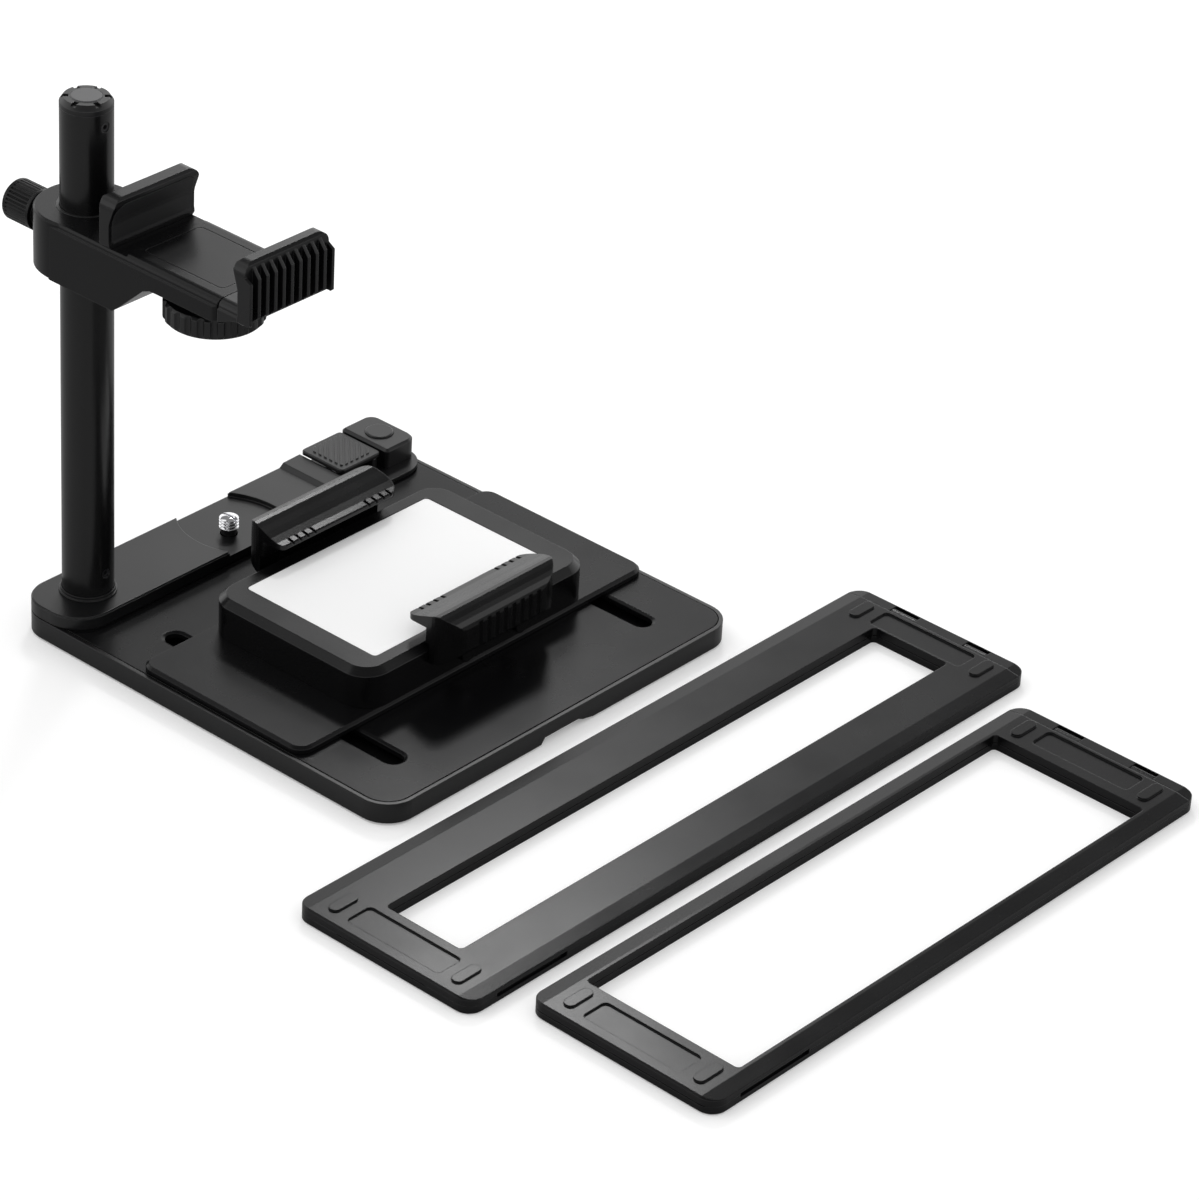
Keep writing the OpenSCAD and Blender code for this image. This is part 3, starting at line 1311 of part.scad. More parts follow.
module side_knob() {
    r = side_d / 2;
    color(soft_black) difference() {
        union() {
            rod_y_axis(col_x, side_z, col_y + bush_or + 1.6, side_y0 + 0.1, clamp_r);
            rod_y_axis(col_x, side_z, side_y0, side_y0 + 1.6, r - 1.4);
            rod_y_axis(col_x, side_z, side_y0 + 1.5, side_y0 + side_l - 0.7, r);
            translate([col_x, side_y0 + side_l - 0.7, side_z]) rotate([-90, 0, 0]) cylinder(h = 0.7, r1 = r, r2 = r - 0.7);
        }
        for (k = [0 : knurl_count - 1]) translate([col_x, 0, side_z]) rotate([0, k * 360 / knurl_count, 0])
            translate([r, side_y0 + 2.6, 0]) rotate([0, 45, 0]) translate([-0.28, 0, -0.28]) cube([0.56, side_l - 4.4, 0.56]);
    }
}

// Film holders, drawn with one corner at the origin and then laid on the table
narrow_at = [-126.8, -156.5];
wide_at = [-113.5, -232.85];
wide_win_y = (holder_w - wide_win_w) / 2;
narrow_win_y = (holder_w - narrow_win_w) / 2;

module lay(at, turn) {
    translate([at[0], at[1], 0]) rotate(turn) children();
}

module knuckle_slots(l, z0, z1) {
    for (k = knuckles) box(l - hinge_in - swing_r - 0.1, l - end_wall, k[0] - 0.2, k[1] + 0.2, z0, z1);
}

module holder_window(length, width, y) {
    slab(left_end, left_end + length, y, y + width, -1, holder_t + 1, 1.5);
}

module nail_slot() {
    box(11, 39.6, -1, 1.2, split_z - 0.8, split_z + 0.8);
}

// Sloping strips that are cut from the top along both long sides
module side_strips(l) {
    for (side = [0, 1]) translate([0, side * holder_w, 0]) mirror([0, side, 0]) translate([-1, 0, 0])
        rotate([90, 0, 90]) linear_extrude(l + 2)
            polygon([[strip_w, holder_t], [-0.1, holder_t - strip_drop], [-0.1, holder_t + 1], [strip_w, holder_t + 1]]);
}

module holder_base(l, win_l, win_w, win_y) {
    axis_x = l - hinge_in;
    color(charcoal) difference() {
        union() {
            slab(0, l, 0, holder_w, 0.4, split_z, holder_r);
            translate([0, 0, 0.4]) mirror([0, 0, 1]) frustum(0, l, 0, holder_w, 0, 0.4, holder_r, 0.4);
            intersection() {
                bevel_slab(0, l, 0, holder_w, split_z - 0.1, holder_t, holder_r, 0.6, 0.6);
                union() {
                    box(axis_x, l + 1, -1, holder_w + 1, 0, holder_t + 1);
                    rod_y_axis(axis_x, hinge_z, -1, holder_w + 1, swing_r);
                }
            }
        }
        side_strips(l);
        knuckle_slots(l, -1, holder_t + 1);
        holder_window(win_l, win_w, win_y);
        nail_slot();
        for (k = knuckles) rod_y_axis(axis_x, hinge_z, k[0] - pin_seat - snug, k[1] + pin_seat + snug,
            hinge_pin_r + snug);
        box(-1, axis_x - swing_r - 3, win_y - 2.6, win_y + win_w + 2.6, split_z - 0.25, split_z + 0.01);
    }
}

module holder_lid(l, win_l, win_w, win_y) {
    axis_x = l - hinge_in;
    lid_x1 = axis_x - swing_r;
    z0 = split_z + split_gap;
    color(charcoal) difference() {
        union() {
            difference() {
                intersection() {
                    bevel_slab(0, l, 0, holder_w, z0, holder_t, holder_r, 0.6, 0.6);
                    box(-1, axis_x, -1, holder_w + 1, 0, holder_t + 1);
                }
                rod_y_axis(axis_x, hinge_z, -1, holder_w + 1, swing_r + 0.1);
                side_strips(l);
                holder_window(win_l, win_w, win_y);
                label_recess(4, 13.8);
                label_recess(lid_x1 - 9.8, lid_x1 - 0.6);
            }
            for (k = knuckles) {
                rod_y_axis(axis_x, hinge_z, k[0], k[1], barrel_r);
                box(lid_x1 - 0.5, axis_x, k[0], k[1], z0, hinge_z + barrel_r - 0.1);
            }
            for (x = [4.2, lid_x1 - 10.6], y = [8.3, holder_w - 12]) slab(x, x + 10.2, y, y + 3.7, holder_t - 0.2,
                holder_t + lid_pad_h, 1.8);
        }
        nail_slot();
        for (k = knuckles) rod_y_axis(axis_x, hinge_z, k[0] - 1, k[1] + 1, hinge_pin_r + run_fit);
    }
}

module label_recess(x0, x1) {
    slab(x0, x1, 15.8, 51.4, holder_t - label_depth, holder_t + 1, 1.6);
}

module hinge_pins(l) {
    axis_x = l - hinge_in;
    color(steel) for (k = knuckles) rod_y_axis(axis_x, hinge_z, k[0] - pin_seat, k[1] + pin_seat, hinge_pin_r);
}

module narrow_holder() {
    lay(narrow_at, narrow_turn) holder_base(narrow_l, narrow_win_l, narrow_win_w, narrow_win_y);
}

module narrow_lid() {
    lay(narrow_at, narrow_turn) holder_lid(narrow_l, narrow_win_l, narrow_win_w, narrow_win_y);
}

module narrow_pins() {
    lay(narrow_at, narrow_turn) hinge_pins(narrow_l);
}

module wide_holder() {
    lay(wide_at, wide_turn) holder_base(wide_l, wide_win_l, wide_win_w, wide_win_y);
}

module wide_lid() {
    lay(wide_at, wide_turn) holder_lid(wide_l, wide_win_l, wide_win_w, wide_win_y);
}

module wide_pins() {
    lay(wide_at, wide_turn) hinge_pins(wide_l);
}

base_tray();
weight_plate();
top_cover();
cover_screws();
rubber_feet();
back_rail();
rail_screws();
column();
column_plug();
column_foot();
column_cap();
cap_disc();
column_bolt();
column_set_screws();
accessory_stud();
end_block();
block_disc();
pad_pin();
press_pad();
pad_spring();
slide_plate();
slot_shoes();
shoe_screws();
light_case();
light_back();
diffuser();
led_board();
led_chips();
battery();
usb_port();
case_screws();
power_button();
power_switch();
front_guide();
back_guide();
front_guide_rods();
back_guide_rods();
front_guide_springs();
back_guide_springs();
column_bush();
arm();
arm_cover();
fixed_jaw();
fixed_jaw_pad();
jaw_screws();
clamp_shoe();
side_knob();
jaw_knob();
pinion();
front_jaw();
rack();
front_jaw_pad();
narrow_holder();
narrow_lid();
narrow_pins();
wide_holder();
wide_lid();
wide_pins();
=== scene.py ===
"""Dresses the film digitizing adapter: its finishes, small trim, studio and camera."""
import logging
import math
from dataclasses import dataclass
from enum import Enum
from typing import Sequence

import bpy
from mathutils import Matrix, Vector


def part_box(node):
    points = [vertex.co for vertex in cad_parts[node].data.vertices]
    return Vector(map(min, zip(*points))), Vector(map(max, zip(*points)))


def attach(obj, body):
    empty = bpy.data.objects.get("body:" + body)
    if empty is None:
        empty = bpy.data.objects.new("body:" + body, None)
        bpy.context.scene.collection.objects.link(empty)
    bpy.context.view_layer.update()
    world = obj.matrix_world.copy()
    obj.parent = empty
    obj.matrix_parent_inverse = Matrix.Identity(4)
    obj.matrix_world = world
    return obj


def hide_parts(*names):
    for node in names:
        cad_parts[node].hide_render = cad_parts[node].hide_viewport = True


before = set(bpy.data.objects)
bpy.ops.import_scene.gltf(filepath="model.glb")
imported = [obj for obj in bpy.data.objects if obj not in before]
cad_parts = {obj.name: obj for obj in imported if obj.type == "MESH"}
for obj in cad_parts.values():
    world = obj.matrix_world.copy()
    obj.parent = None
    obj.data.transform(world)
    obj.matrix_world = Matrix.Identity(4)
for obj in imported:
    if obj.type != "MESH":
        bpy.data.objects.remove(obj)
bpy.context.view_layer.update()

LOG = logging.getLogger("film_adapter")
MM = 0.001

Node = bpy.types.Node
NodeTree = bpy.types.NodeTree
Socket = bpy.types.NodeSocket
Material = bpy.types.Material
Piece = bpy.types.Object
Colour = tuple[float, float, float]
Shade = tuple[float, float, float, float]
Place = tuple[float, float, float]
Span = tuple[float, float]

FLOAT = "NodeSocketFloat"
VECTOR = "NodeSocketVector"
WHITE = (1.0, 1.0, 1.0, 1.0)


class Grain(Enum):
    """How a surface's fine texture is stretched along X, Y and Z."""

    MOULDED = (1.0, 1.0, 1.0)
    BRUSHED_Z = (1.0, 1.0, 0.04)


def feed(tree: NodeTree, slot: Socket, value: object) -> None:
    """Gives an input its value.

    Args:
        tree: The node tree.
        slot: The input.
        value: A socket to link, or a plain value to set.
    """
    if isinstance(value, Socket):
        tree.links.new(value, slot)
    else:
        slot.default_value = value


def add_node(tree: NodeTree, kind: str, inputs: dict[str | int, object] | None = None,
             **settings: object) -> Node:
    """Adds a node, sets its properties and feeds its inputs.

    Args:
        tree: The tree that takes the node.
        kind: Blender's name of the node type.
        inputs: A socket or value for each input, by the input's name or number.
        settings: Properties to set on the node.

    Returns:
        The new node.
    """
    node = tree.nodes.new(kind)
    for name, value in settings.items():
        setattr(node, name, value)
    for key, value in (inputs or {}).items():
        feed(tree, node.inputs[key], value)
    return node


def math_node(tree: NodeTree, operation: str, first: object, second: object) -> Socket:
    """Adds a Math node.

    Args:
        tree: The tree that takes the node.
        operation: The operation, such as MULTIPLY.
        first: A socket or a number.
        second: A socket or a number.

    Returns:
        The node's value socket.
    """
    return add_node(tree, "ShaderNodeMath", {0: first, 1: second}, operation=operation).outputs[0]


def map_range(tree: NodeTree, value: Socket, source: Span = (0.0, 1.0), target: Span = (0.0, 1.0),
              interpolation: str = "LINEAR") -> Socket:
    """Adds a Map Range node.

    Args:
        tree: The tree that takes the node.
        value: The socket to map.
        source: The two values that are mapped from.
        target: The two values that they become.
        interpolation: Blender's name of the curve between them.

    Returns:
        The mapped value's socket.
    """
    inputs = {"Value": value, "From Min": source[0], "From Max": source[1],
              "To Min": target[0], "To Max": target[1]}
    node = add_node(tree, "ShaderNodeMapRange", inputs, interpolation_type=interpolation)
    return node.outputs["Result"]


def mix_colour(tree: NodeTree, factor: Socket, first: object, second: object) -> Socket:
    """Mixes two colours by a mask.

    Args:
        tree: The tree that takes the node.
        factor: The mask, 0 for the first colour.
        first: A socket or a colour.
        second: A socket or a colour.

    Returns:
        The mixed colour's socket.
    """
    first_colour, second_colour, mixed_colour = 6, 7, 2
    inputs = {"Factor": factor, first_colour: first, second_colour: second}
    return add_node(tree, "ShaderNodeMix", inputs, data_type="RGBA").outputs[mixed_colour]


def noise(tree: NodeTree, inputs: dict[str | int, object], vector: Socket | None = None) -> Socket:
    """Adds a Noise Texture in the piece's own coordinates.

    Args:
        tree: The tree that takes the node.
        inputs: A socket or value for each input that isn't Blender's default.
        vector: Other coordinates to use instead.

    Returns:
        The noise's value socket.
    """
    place = object_coordinates(tree) if vector is None else vector
    return add_node(tree, "ShaderNodeTexNoise", {"Vector": place, **inputs}).outputs["Fac"]


def object_coordinates(tree: NodeTree) -> Socket:
    """Gives the socket with the piece's own coordinates."""
    return add_node(tree, "ShaderNodeTexCoord").outputs["Object"]


def height_of(tree: NodeTree, direction: Socket) -> Socket:
    """Gives the socket with a direction's Z value."""
    return add_node(tree, "ShaderNodeSeparateXYZ", {0: direction}).outputs["Z"]


def new_group(name: str, inputs: dict[str, str], outputs: dict[str, str]) -> tuple[NodeTree, Node, Node]:
    """Makes a shader node group with named sockets.

    Args:
        name: The group's name.
        inputs: Name and socket type of each input.
        outputs: Name and socket type of each output.

    Returns:
        The group's node tree, its input node and its output node.
    """
    tree = bpy.data.node_groups.new(name, "ShaderNodeTree")
    for label, kind in inputs.items():
        tree.interface.new_socket(label, in_out="INPUT", socket_type=kind)
    for label, kind in outputs.items():
        tree.interface.new_socket(label, in_out="OUTPUT", socket_type=kind)
    return tree, add_node(tree, "NodeGroupInput"), add_node(tree, "NodeGroupOutput")


class SharedEffects:
    """Node groups for the effects that several finishes use."""

    EDGE_SAMPLES = 6
    EDGE_SHARPNESS = (0.99, 0.80)
    # Patches that break up the edge mark, which is partly wear and partly painted highlight.
    WEAR_HIGHLIGHT_NOISE = {"Scale": 160.0, "Detail": 4.0}
    WEAR_HIGHLIGHT_CONTRAST = (0.35, 0.65)
    WEAR_HIGHLIGHT_SHARE = (0.35, 1.0)
    GRAIN_NOISE = {"Detail": 3.0, "Roughness": 0.6}
    CLOUD_NOISE = {"Scale": 42.0, "Detail": 5.0}
    SPECK_SCALE = 420.0
    SPECK_EDGE = (0.09, 0.03)

    def __init__(self) -> None:
        """Builds each group once."""
        self.edge = self.edge_group()
        self.grain = self.grain_group()
        self.dust = self.dust_group()

    def edge_group(self) -> NodeTree:
        """Builds a group that softens edges and marks where they wear and where a painted highlight lightens
        them.

        Returns:
            A group with a Radius input and an input for the amount of edge wear and painted highlight, and
            Mask and Normal outputs.
        """
        tree, inlet, outlet = new_group("edge_wear_and_highlight", {"Radius": FLOAT, "WearAndHighlight": FLOAT},
                                        {"Mask": FLOAT, "Normal": VECTOR})
        bevel = add_node(tree, "ShaderNodeBevel", {"Radius": inlet.outputs["Radius"]},
                         samples=self.EDGE_SAMPLES)
        rounded = bevel.outputs["Normal"]
        flat = add_node(tree, "ShaderNodeNewGeometry").outputs["Normal"]
        dot = add_node(tree, "ShaderNodeVectorMath", {0: rounded, 1: flat}, operation="DOT_PRODUCT")
        edges = map_range(tree, dot.outputs["Value"], self.EDGE_SHARPNESS)
        patches = map_range(tree, noise(tree, self.WEAR_HIGHLIGHT_NOISE), self.WEAR_HIGHLIGHT_CONTRAST, self.WEAR_HIGHLIGHT_SHARE)
        worn_and_highlit = math_node(tree, "MULTIPLY", edges, patches)
        feed(tree, outlet.inputs["Mask"], math_node(tree, "MULTIPLY", worn_and_highlit, inlet.outputs["WearAndHighlight"]))
        feed(tree, outlet.inputs["Normal"], rounded)
        return tree

    def grain_group(self) -> NodeTree:
        """Builds a group with the fine spark-eroded grain of a mould.

        Returns:
            A group with Scale and Stretch inputs, and Height and Cloud outputs.
        """
        tree, inlet, outlet = new_group("fine_grain", {"Scale": FLOAT, "Stretch": VECTOR},
                                        {"Height": FLOAT, "Cloud": FLOAT})
        stretched = add_node(tree, "ShaderNodeVectorMath",
                             {0: object_coordinates(tree), 1: inlet.outputs["Stretch"]},
                             operation="MULTIPLY")
        fine = {"Scale": inlet.outputs["Scale"], **self.GRAIN_NOISE}
        feed(tree, outlet.inputs["Height"], noise(tree, fine, stretched.outputs[0]))
        feed(tree, outlet.inputs["Cloud"], noise(tree, self.CLOUD_NOISE))
        return tree

    def dust_group(self) -> NodeTree:
        """Builds a group with sparse pale specks on faces that look up.

        Returns:
            A group with an Amount input and a Mask output.
        """
        tree, inlet, outlet = new_group("dust_specks", {"Amount": FLOAT}, {"Mask": FLOAT})
        cells = add_node(tree, "ShaderNodeTexVoronoi",
                         {"Vector": object_coordinates(tree), "Scale": self.SPECK_SCALE}, feature="F1")
        specks = map_range(tree, cells.outputs["Distance"], self.SPECK_EDGE)
        normal = add_node(tree, "ShaderNodeNewGeometry").outputs["Normal"]
        upward = math_node(tree, "MAXIMUM", height_of(tree, normal), 0.0)
        settled = math_node(tree, "MULTIPLY", specks, upward)
        feed(tree, outlet.inputs["Mask"], math_node(tree, "MULTIPLY", settled, inlet.outputs["Amount"]))
        return tree


@dataclass(frozen=True)
class Finish:
    """A surface finish with fine grain, edges lightened partly by wear and partly by a painted highlight, a
    little dust and uneven gloss, lengths in metres.
    """

    name: str
    colour: Colour
    # Colour of the edge mark: partly wear, partly a painted highlight along the edges.
    edge_wear_highlight_colour: Colour
    roughness: float
    metallic: float = 0.0
    specular: float = 0.5
    grain: Grain = Grain.MOULDED
    grain_scale: float = 2400.0
    grain_height: float = 0.00008
    bump: float = 0.12
    edge_radius: float = 0.00035
    # Strength of the edge mark, which is partly wear and partly painted highlight.
    wear_and_highlight: float = 0.4
    variation: float = 0.12
    dust: float = 0.08
    dust_colour: Colour = (0.20, 0.195, 0.185)
    gloss_spread: float = 0.07
    least_roughness: float = 0.02

    def build(self, effects: SharedEffects) -> Material:
        """Makes the material.

        Args:
            effects: The shared node groups.

        Returns:
            The finished material.
        """
        material = bpy.data.materials.new(self.name)
        material.use_nodes = True
        tree = material.node_tree
        edge = add_node(tree, "ShaderNodeGroup", node_tree=effects.edge)
        edge.inputs["Radius"].default_value = self.edge_radius
        edge.inputs["WearAndHighlight"].default_value = self.wear_and_highlight
        grain = add_node(tree, "ShaderNodeGroup", node_tree=effects.grain)
        grain.inputs["Scale"].default_value = self.grain_scale
        grain.inputs["Stretch"].default_value = self.grain.value
        dust = add_node(tree, "ShaderNodeGroup", node_tree=effects.dust)
        dust.inputs["Amount"].default_value = self.dust
        cloud = grain.outputs["Cloud"]
        base = mix_colour(tree, cloud, self.shade(1.0 - self.variation), self.shade(1.0 + self.variation))
        # Lightens the edges: partly wear, partly a painted highlight.
        worn_and_highlit = mix_colour(tree, edge.outputs["Mask"], base, self.edge_wear_highlight_colour + (1.0,))
        dusty = mix_colour(tree, dust.outputs["Mask"], worn_and_highlit, self.dust_colour + (1.0,))
        smoothest = max(self.least_roughness, self.roughness - self.gloss_spread)
        gloss = map_range(tree, cloud, target=(smoothest, self.roughness + self.gloss_spread))
        relief = add_node(tree, "ShaderNodeBump", {
            "Strength": self.bump, "Distance": self.grain_height,
            "Height": grain.outputs["Height"], "Normal": edge.outputs["Normal"]})
        surface = {"Base Color": dusty, "Roughness": gloss, "Normal": relief.outputs["Normal"],
                   "Metallic": self.metallic, "Specular IOR Level": self.specular}
        shader = tree.nodes["Principled BSDF"]
        for name, value in surface.items():
            feed(tree, shader.inputs[name], value)
        return material

    def shade(self, factor: float) -> Shade:
        """Gives the finish's colour, brightened or darkened by a factor."""
        red, green, blue = self.colour
        return (red * factor, green * factor, blue * factor, 1.0)


# Black plastics, set apart by their gloss
# Each finish's second colour is its edge colour, lighter for worn edges and for a painted edge highlight.
CHARCOAL = Finish("charcoal_plastic", (0.0038, 0.0038, 0.0041), (0.026, 0.026, 0.027), 0.30,
                  wear_and_highlight=0.5, bump=0.08, specular=0.43)
COVER_PLASTIC = Finish("cover_plastic", (0.0034, 0.0034, 0.0037), (0.022, 0.022, 0.023), 0.26,
                       wear_and_highlight=0.5, bump=0.08, specular=0.19)
CASE_PLASTIC = Finish("case_plastic", (0.0020, 0.0020, 0.0022), (0.018, 0.018, 0.019), 0.23,
                      bump=0.06, specular=0.30)
GUIDE_PLASTIC = Finish("guide_plastic", (0.0022, 0.0022, 0.0024), (0.018, 0.018, 0.019), 0.25,
                       bump=0.05, specular=0.30)
ARM_PLASTIC = Finish("arm_plastic", (0.0030, 0.0030, 0.0033), (0.022, 0.022, 0.023), 0.26,
                     wear_and_highlight=0.5, bump=0.08, specular=0.20)
JAW_PLASTIC = Finish("jaw_plastic", (0.0030, 0.0030, 0.0033), (0.024, 0.024, 0.025), 0.27,
                     wear_and_highlight=0.6, bump=0.07, specular=0.30)
HOLDER_PLASTIC = Finish("holder_plastic", (0.0030, 0.0030, 0.0033), (0.020, 0.020, 0.021), 0.25,
                        wear_and_highlight=0.5, bump=0.06, specular=0.23)
KNOB_PLASTIC = Finish("knob_plastic", (0.0035, 0.0035, 0.0038), (0.015, 0.015, 0.016), 0.33,
                      specular=0.4)
SIDE_KNOB = Finish("side_knob_black", (0.0030, 0.0030, 0.0032), (0.015, 0.015, 0.016), 0.36,
                   specular=0.2)

# The other outer surfaces
COLUMN_BLACK = Finish("column_black", (0.0032, 0.0032, 0.0034), (0.02, 0.02, 0.021), 0.24,
                      grain=Grain.BRUSHED_Z, grain_scale=5200.0, bump=0.05, dust=0.03, specular=0.4)
RUBBER = Finish("black_rubber", (0.009, 0.009, 0.0095), (0.018, 0.018, 0.019), 0.62,
                bump=0.3, grain_scale=1800.0, specular=0.3)
CHROME = Finish("stud_chrome", (0.74, 0.74, 0.76), (0.85, 0.85, 0.87), 0.12,
                metallic=1.0, bump=0.02, edge_radius=0.0003, dust=0.05)
DIFFUSER = Finish("white_diffuser", (0.86, 0.86, 0.86), (0.88, 0.88, 0.88), 0.38,
                  bump=0.04, variation=0.01, dust=0.0, wear_and_highlight=0.1)
CAP_GREY = Finish("cap_grey", (0.055, 0.055, 0.057), (0.11, 0.11, 0.115), 0.42)

# The hardware and the inner parts
STEEL = Finish("plain_steel", (0.50, 0.50, 0.52), (0.66, 0.66, 0.68), 0.32,
               metallic=1.0, bump=0.05, edge_radius=0.0002)
BLACK_STEEL = Finish("black_steel", (0.010, 0.010, 0.011), (0.05, 0.05, 0.052), 0.3,
                     bump=0.04, edge_radius=0.00015)
DARK_BEARING = Finish("dark_bearing", (0.012, 0.012, 0.0125), (0.03, 0.03, 0.031), 0.4, bump=0.05)
IVORY = Finish("bearing_plastic", (0.62, 0.60, 0.55), (0.7, 0.68, 0.62), 0.35,
               bump=0.05, grain_scale=1500.0)
BOARD = Finish("green_board", (0.012, 0.10, 0.045), (0.2, 0.22, 0.1), 0.4, bump=0.05)
LED = Finish("led_phosphor", (0.80, 0.66, 0.22), (0.85, 0.8, 0.5), 0.3, bump=0.03)
FOIL = Finish("battery_foil", (0.20, 0.22, 0.26), (0.5, 0.5, 0.52), 0.35, metallic=0.4)
BRASS = Finish("turned_brass", (0.60, 0.42, 0.16), (0.8, 0.6, 0.3), 0.3, metallic=1.0, bump=0.05)


class Wardrobe:
    """Keeps one material for each finish and puts them on pieces."""

    def __init__(self) -> None:
        """Starts with the shared effects and no material."""
        self.effects = SharedEffects()
        self.made: dict[Finish, Material] = {}

    def material(self, finish: Finish) -> Material:
        """Gives a finish's material, made on first use.

        Args:
            finish: The finish wanted.

        Returns:
            Its material.
        """
        if finish not in self.made:
            self.made[finish] = finish.build(self.effects)
        return self.made[finish]

    def dress(self, finish: Finish, piece: Piece) -> None:
        """Puts a finish on one piece.

        Args:
            finish: The finish.
            piece: The mesh object.
        """
        piece.data.materials.clear()
        piece.data.materials.append(self.material(finish))


@dataclass
class PhotoCamera:
    """The photograph's camera, solved from the object's own lines: angles in radians, lengths in metres."""

    width_px: float = 1199.0
    focal_px: float = 4933.68
    sensor_mm: float = 36.0
    azimuth: float = -0.873865
    elevation: float = 0.544605
    roll: float = 0.059442
    distance: float = 1.53972
    target: Place = (0.064025, -0.034186, 0.0)
    clip_start: float = 0.05
    clip_end: float = 30.0

    def build(self) -> None:
        """Adds the camera and makes it the scene's own."""
        cos_a, sin_a = math.cos(self.azimuth), math.sin(self.azimuth)
        cos_e, sin_e = math.cos(self.elevation), math.sin(self.elevation)
        back = Vector((sin_a * cos_e, -cos_a * cos_e, sin_e))
        right = Vector((cos_a, sin_a, 0.0))
        up = back.cross(right)
        rolled_right = math.cos(self.roll) * right + math.sin(self.roll) * up
        rolled_up = math.cos(self.roll) * up - math.sin(self.roll) * right
        data = bpy.data.cameras.new("photo_camera")
        data.sensor_fit = "HORIZONTAL"
        data.sensor_width = self.sensor_mm
        data.lens = self.focal_px / self.width_px * self.sensor_mm
        data.clip_start = self.clip_start
        data.clip_end = self.clip_end
        camera = bpy.data.objects.new("photo_camera", data)
        bpy.context.scene.collection.objects.link(camera)
        axes = Matrix((rolled_right, rolled_up, back)).transposed().to_4x4()
        camera.matrix_world = Matrix.Translation(Vector(self.target) + self.distance * back) @ axes
        bpy.context.scene.camera = camera


@dataclass(frozen=True)
class SoftLamp:
    """A square lamp that looks at the object, in metres and watts."""

    name: str
    place: Place
    side: float
    power: float
    aim: Place = (0.0, -0.05, 0.05)

    def build(self) -> None:
        """Hangs the lamp."""
        data = bpy.data.lights.new(self.name, "AREA")
        data.shape = "SQUARE"
        data.size = self.side
        data.energy = self.power
        lamp = bpy.data.objects.new(self.name, data)
        bpy.context.scene.collection.objects.link(lamp)
        lamp.location = Vector(self.place)
        aim = Vector(self.aim) - Vector(self.place)
        lamp.rotation_euler = aim.to_track_quat("-Z", "Y").to_euler()


@dataclass
class Studio:
    """A white table, a soft white room and two soft lamps."""

    floor_size: float = 12.0
    floor_drop: float = 0.0001
    floor_roughness: float = 0.9
    floor_tone: float = 0.82
    floor_glow: float = 0.22
    floor_reflected: float = 0.45
    room_strength: float = 0.90
    sky_reflected: Span = (1.5, 0.27)
    sky_edge: Span = (0.47, 0.56)
    lamps: tuple[SoftLamp, ...] = (
        SoftLamp("key_lamp", (-0.55, 0.75, 1.35), side=1.0, power=3.0),
        SoftLamp("glare_lamp", (0.642, 0.493, 0.836), side=0.16, power=2.2))

    def build(self) -> None:
        """Adds the floor, the room's light and the lamps."""
        self.build_floor()
        self.build_room()
        for lamp in self.lamps:
            lamp.build()

    def build_floor(self) -> None:
        """Adds the white table top, which keeps the object's shadow and is darker in reflections."""
        bpy.ops.mesh.primitive_plane_add(size=self.floor_size, location=(0.0, 0.0, -self.floor_drop))
        floor = bpy.context.active_object
        floor.name = "studio_floor"
        bpy.ops.object.transform_apply(location=True, rotation=True, scale=True)
        material = bpy.data.materials.new("studio_white")
        material.use_nodes = True
        tree = material.node_tree
        path = add_node(tree, "ShaderNodeLightPath")
        plain, reflected = ((tone, tone, tone, 1.0) for tone in (self.floor_tone, self.floor_reflected))
        surface = {
            "Roughness": self.floor_roughness, "Specular IOR Level": 0.0, "Emission Color": WHITE,
            "Base Color": mix_colour(tree, path.outputs["Is Glossy Ray"], plain, reflected),
            "Emission Strength": math_node(tree, "MULTIPLY", path.outputs["Is Camera Ray"], self.floor_glow)}
        shader = tree.nodes["Principled BSDF"]
        for name, value in surface.items():
            feed(tree, shader.inputs[name], value)
        floor.data.materials.append(material)

    def build_room(self) -> None:
        """Sets the world's white light, which reflections see as bright and low, and dimmer overhead."""
        world = bpy.data.worlds.new("studio_room")
        bpy.context.scene.world = world
        world.use_nodes = True
        tree = world.node_tree
        direction = add_node(tree, "ShaderNodeTexCoord").outputs["Generated"]
        low, high = (tone - self.room_strength for tone in self.sky_reflected)
        sky = map_range(tree, height_of(tree, direction), self.sky_edge, (low, high), "SMOOTHSTEP")
        path = add_node(tree, "ShaderNodeLightPath").outputs
        mirrored = math_node(tree, "MULTIPLY", path["Is Glossy Ray"], sky)
        seen = math_node(tree, "MAXIMUM", path["Is Camera Ray"], path["Is Transmission Ray"])
        lift = math_node(tree, "MULTIPLY", seen, 1.0 - self.room_strength)
        plain = math_node(tree, "ADD", lift, self.room_strength)
        background = tree.nodes["Background"]
        feed(tree, background.inputs["Color"], WHITE)
        feed(tree, background.inputs["Strength"], math_node(tree, "ADD", plain, mirrored))


class SubAssembly:
    """A group of pieces that is dressed and trimmed together."""

    FINISHES: dict[Finish, tuple[str, ...]] = {}

    def __init__(self, wardrobe: Wardrobe) -> None:
        """Keeps the wardrobe.

        Args:
            wardrobe: Where the finishes come from.
        """
        self.wardrobe = wardrobe

    def dress(self) -> None:
        """Puts each finish on its CAD nodes."""
        for finish, names in self.FINISHES.items():
            for name in names:
                self.wardrobe.dress(finish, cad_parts[name])

    def build(self) -> list[Piece]:
        """Adds the trim pieces.

        Returns:
            The new pieces.
        """
        return []


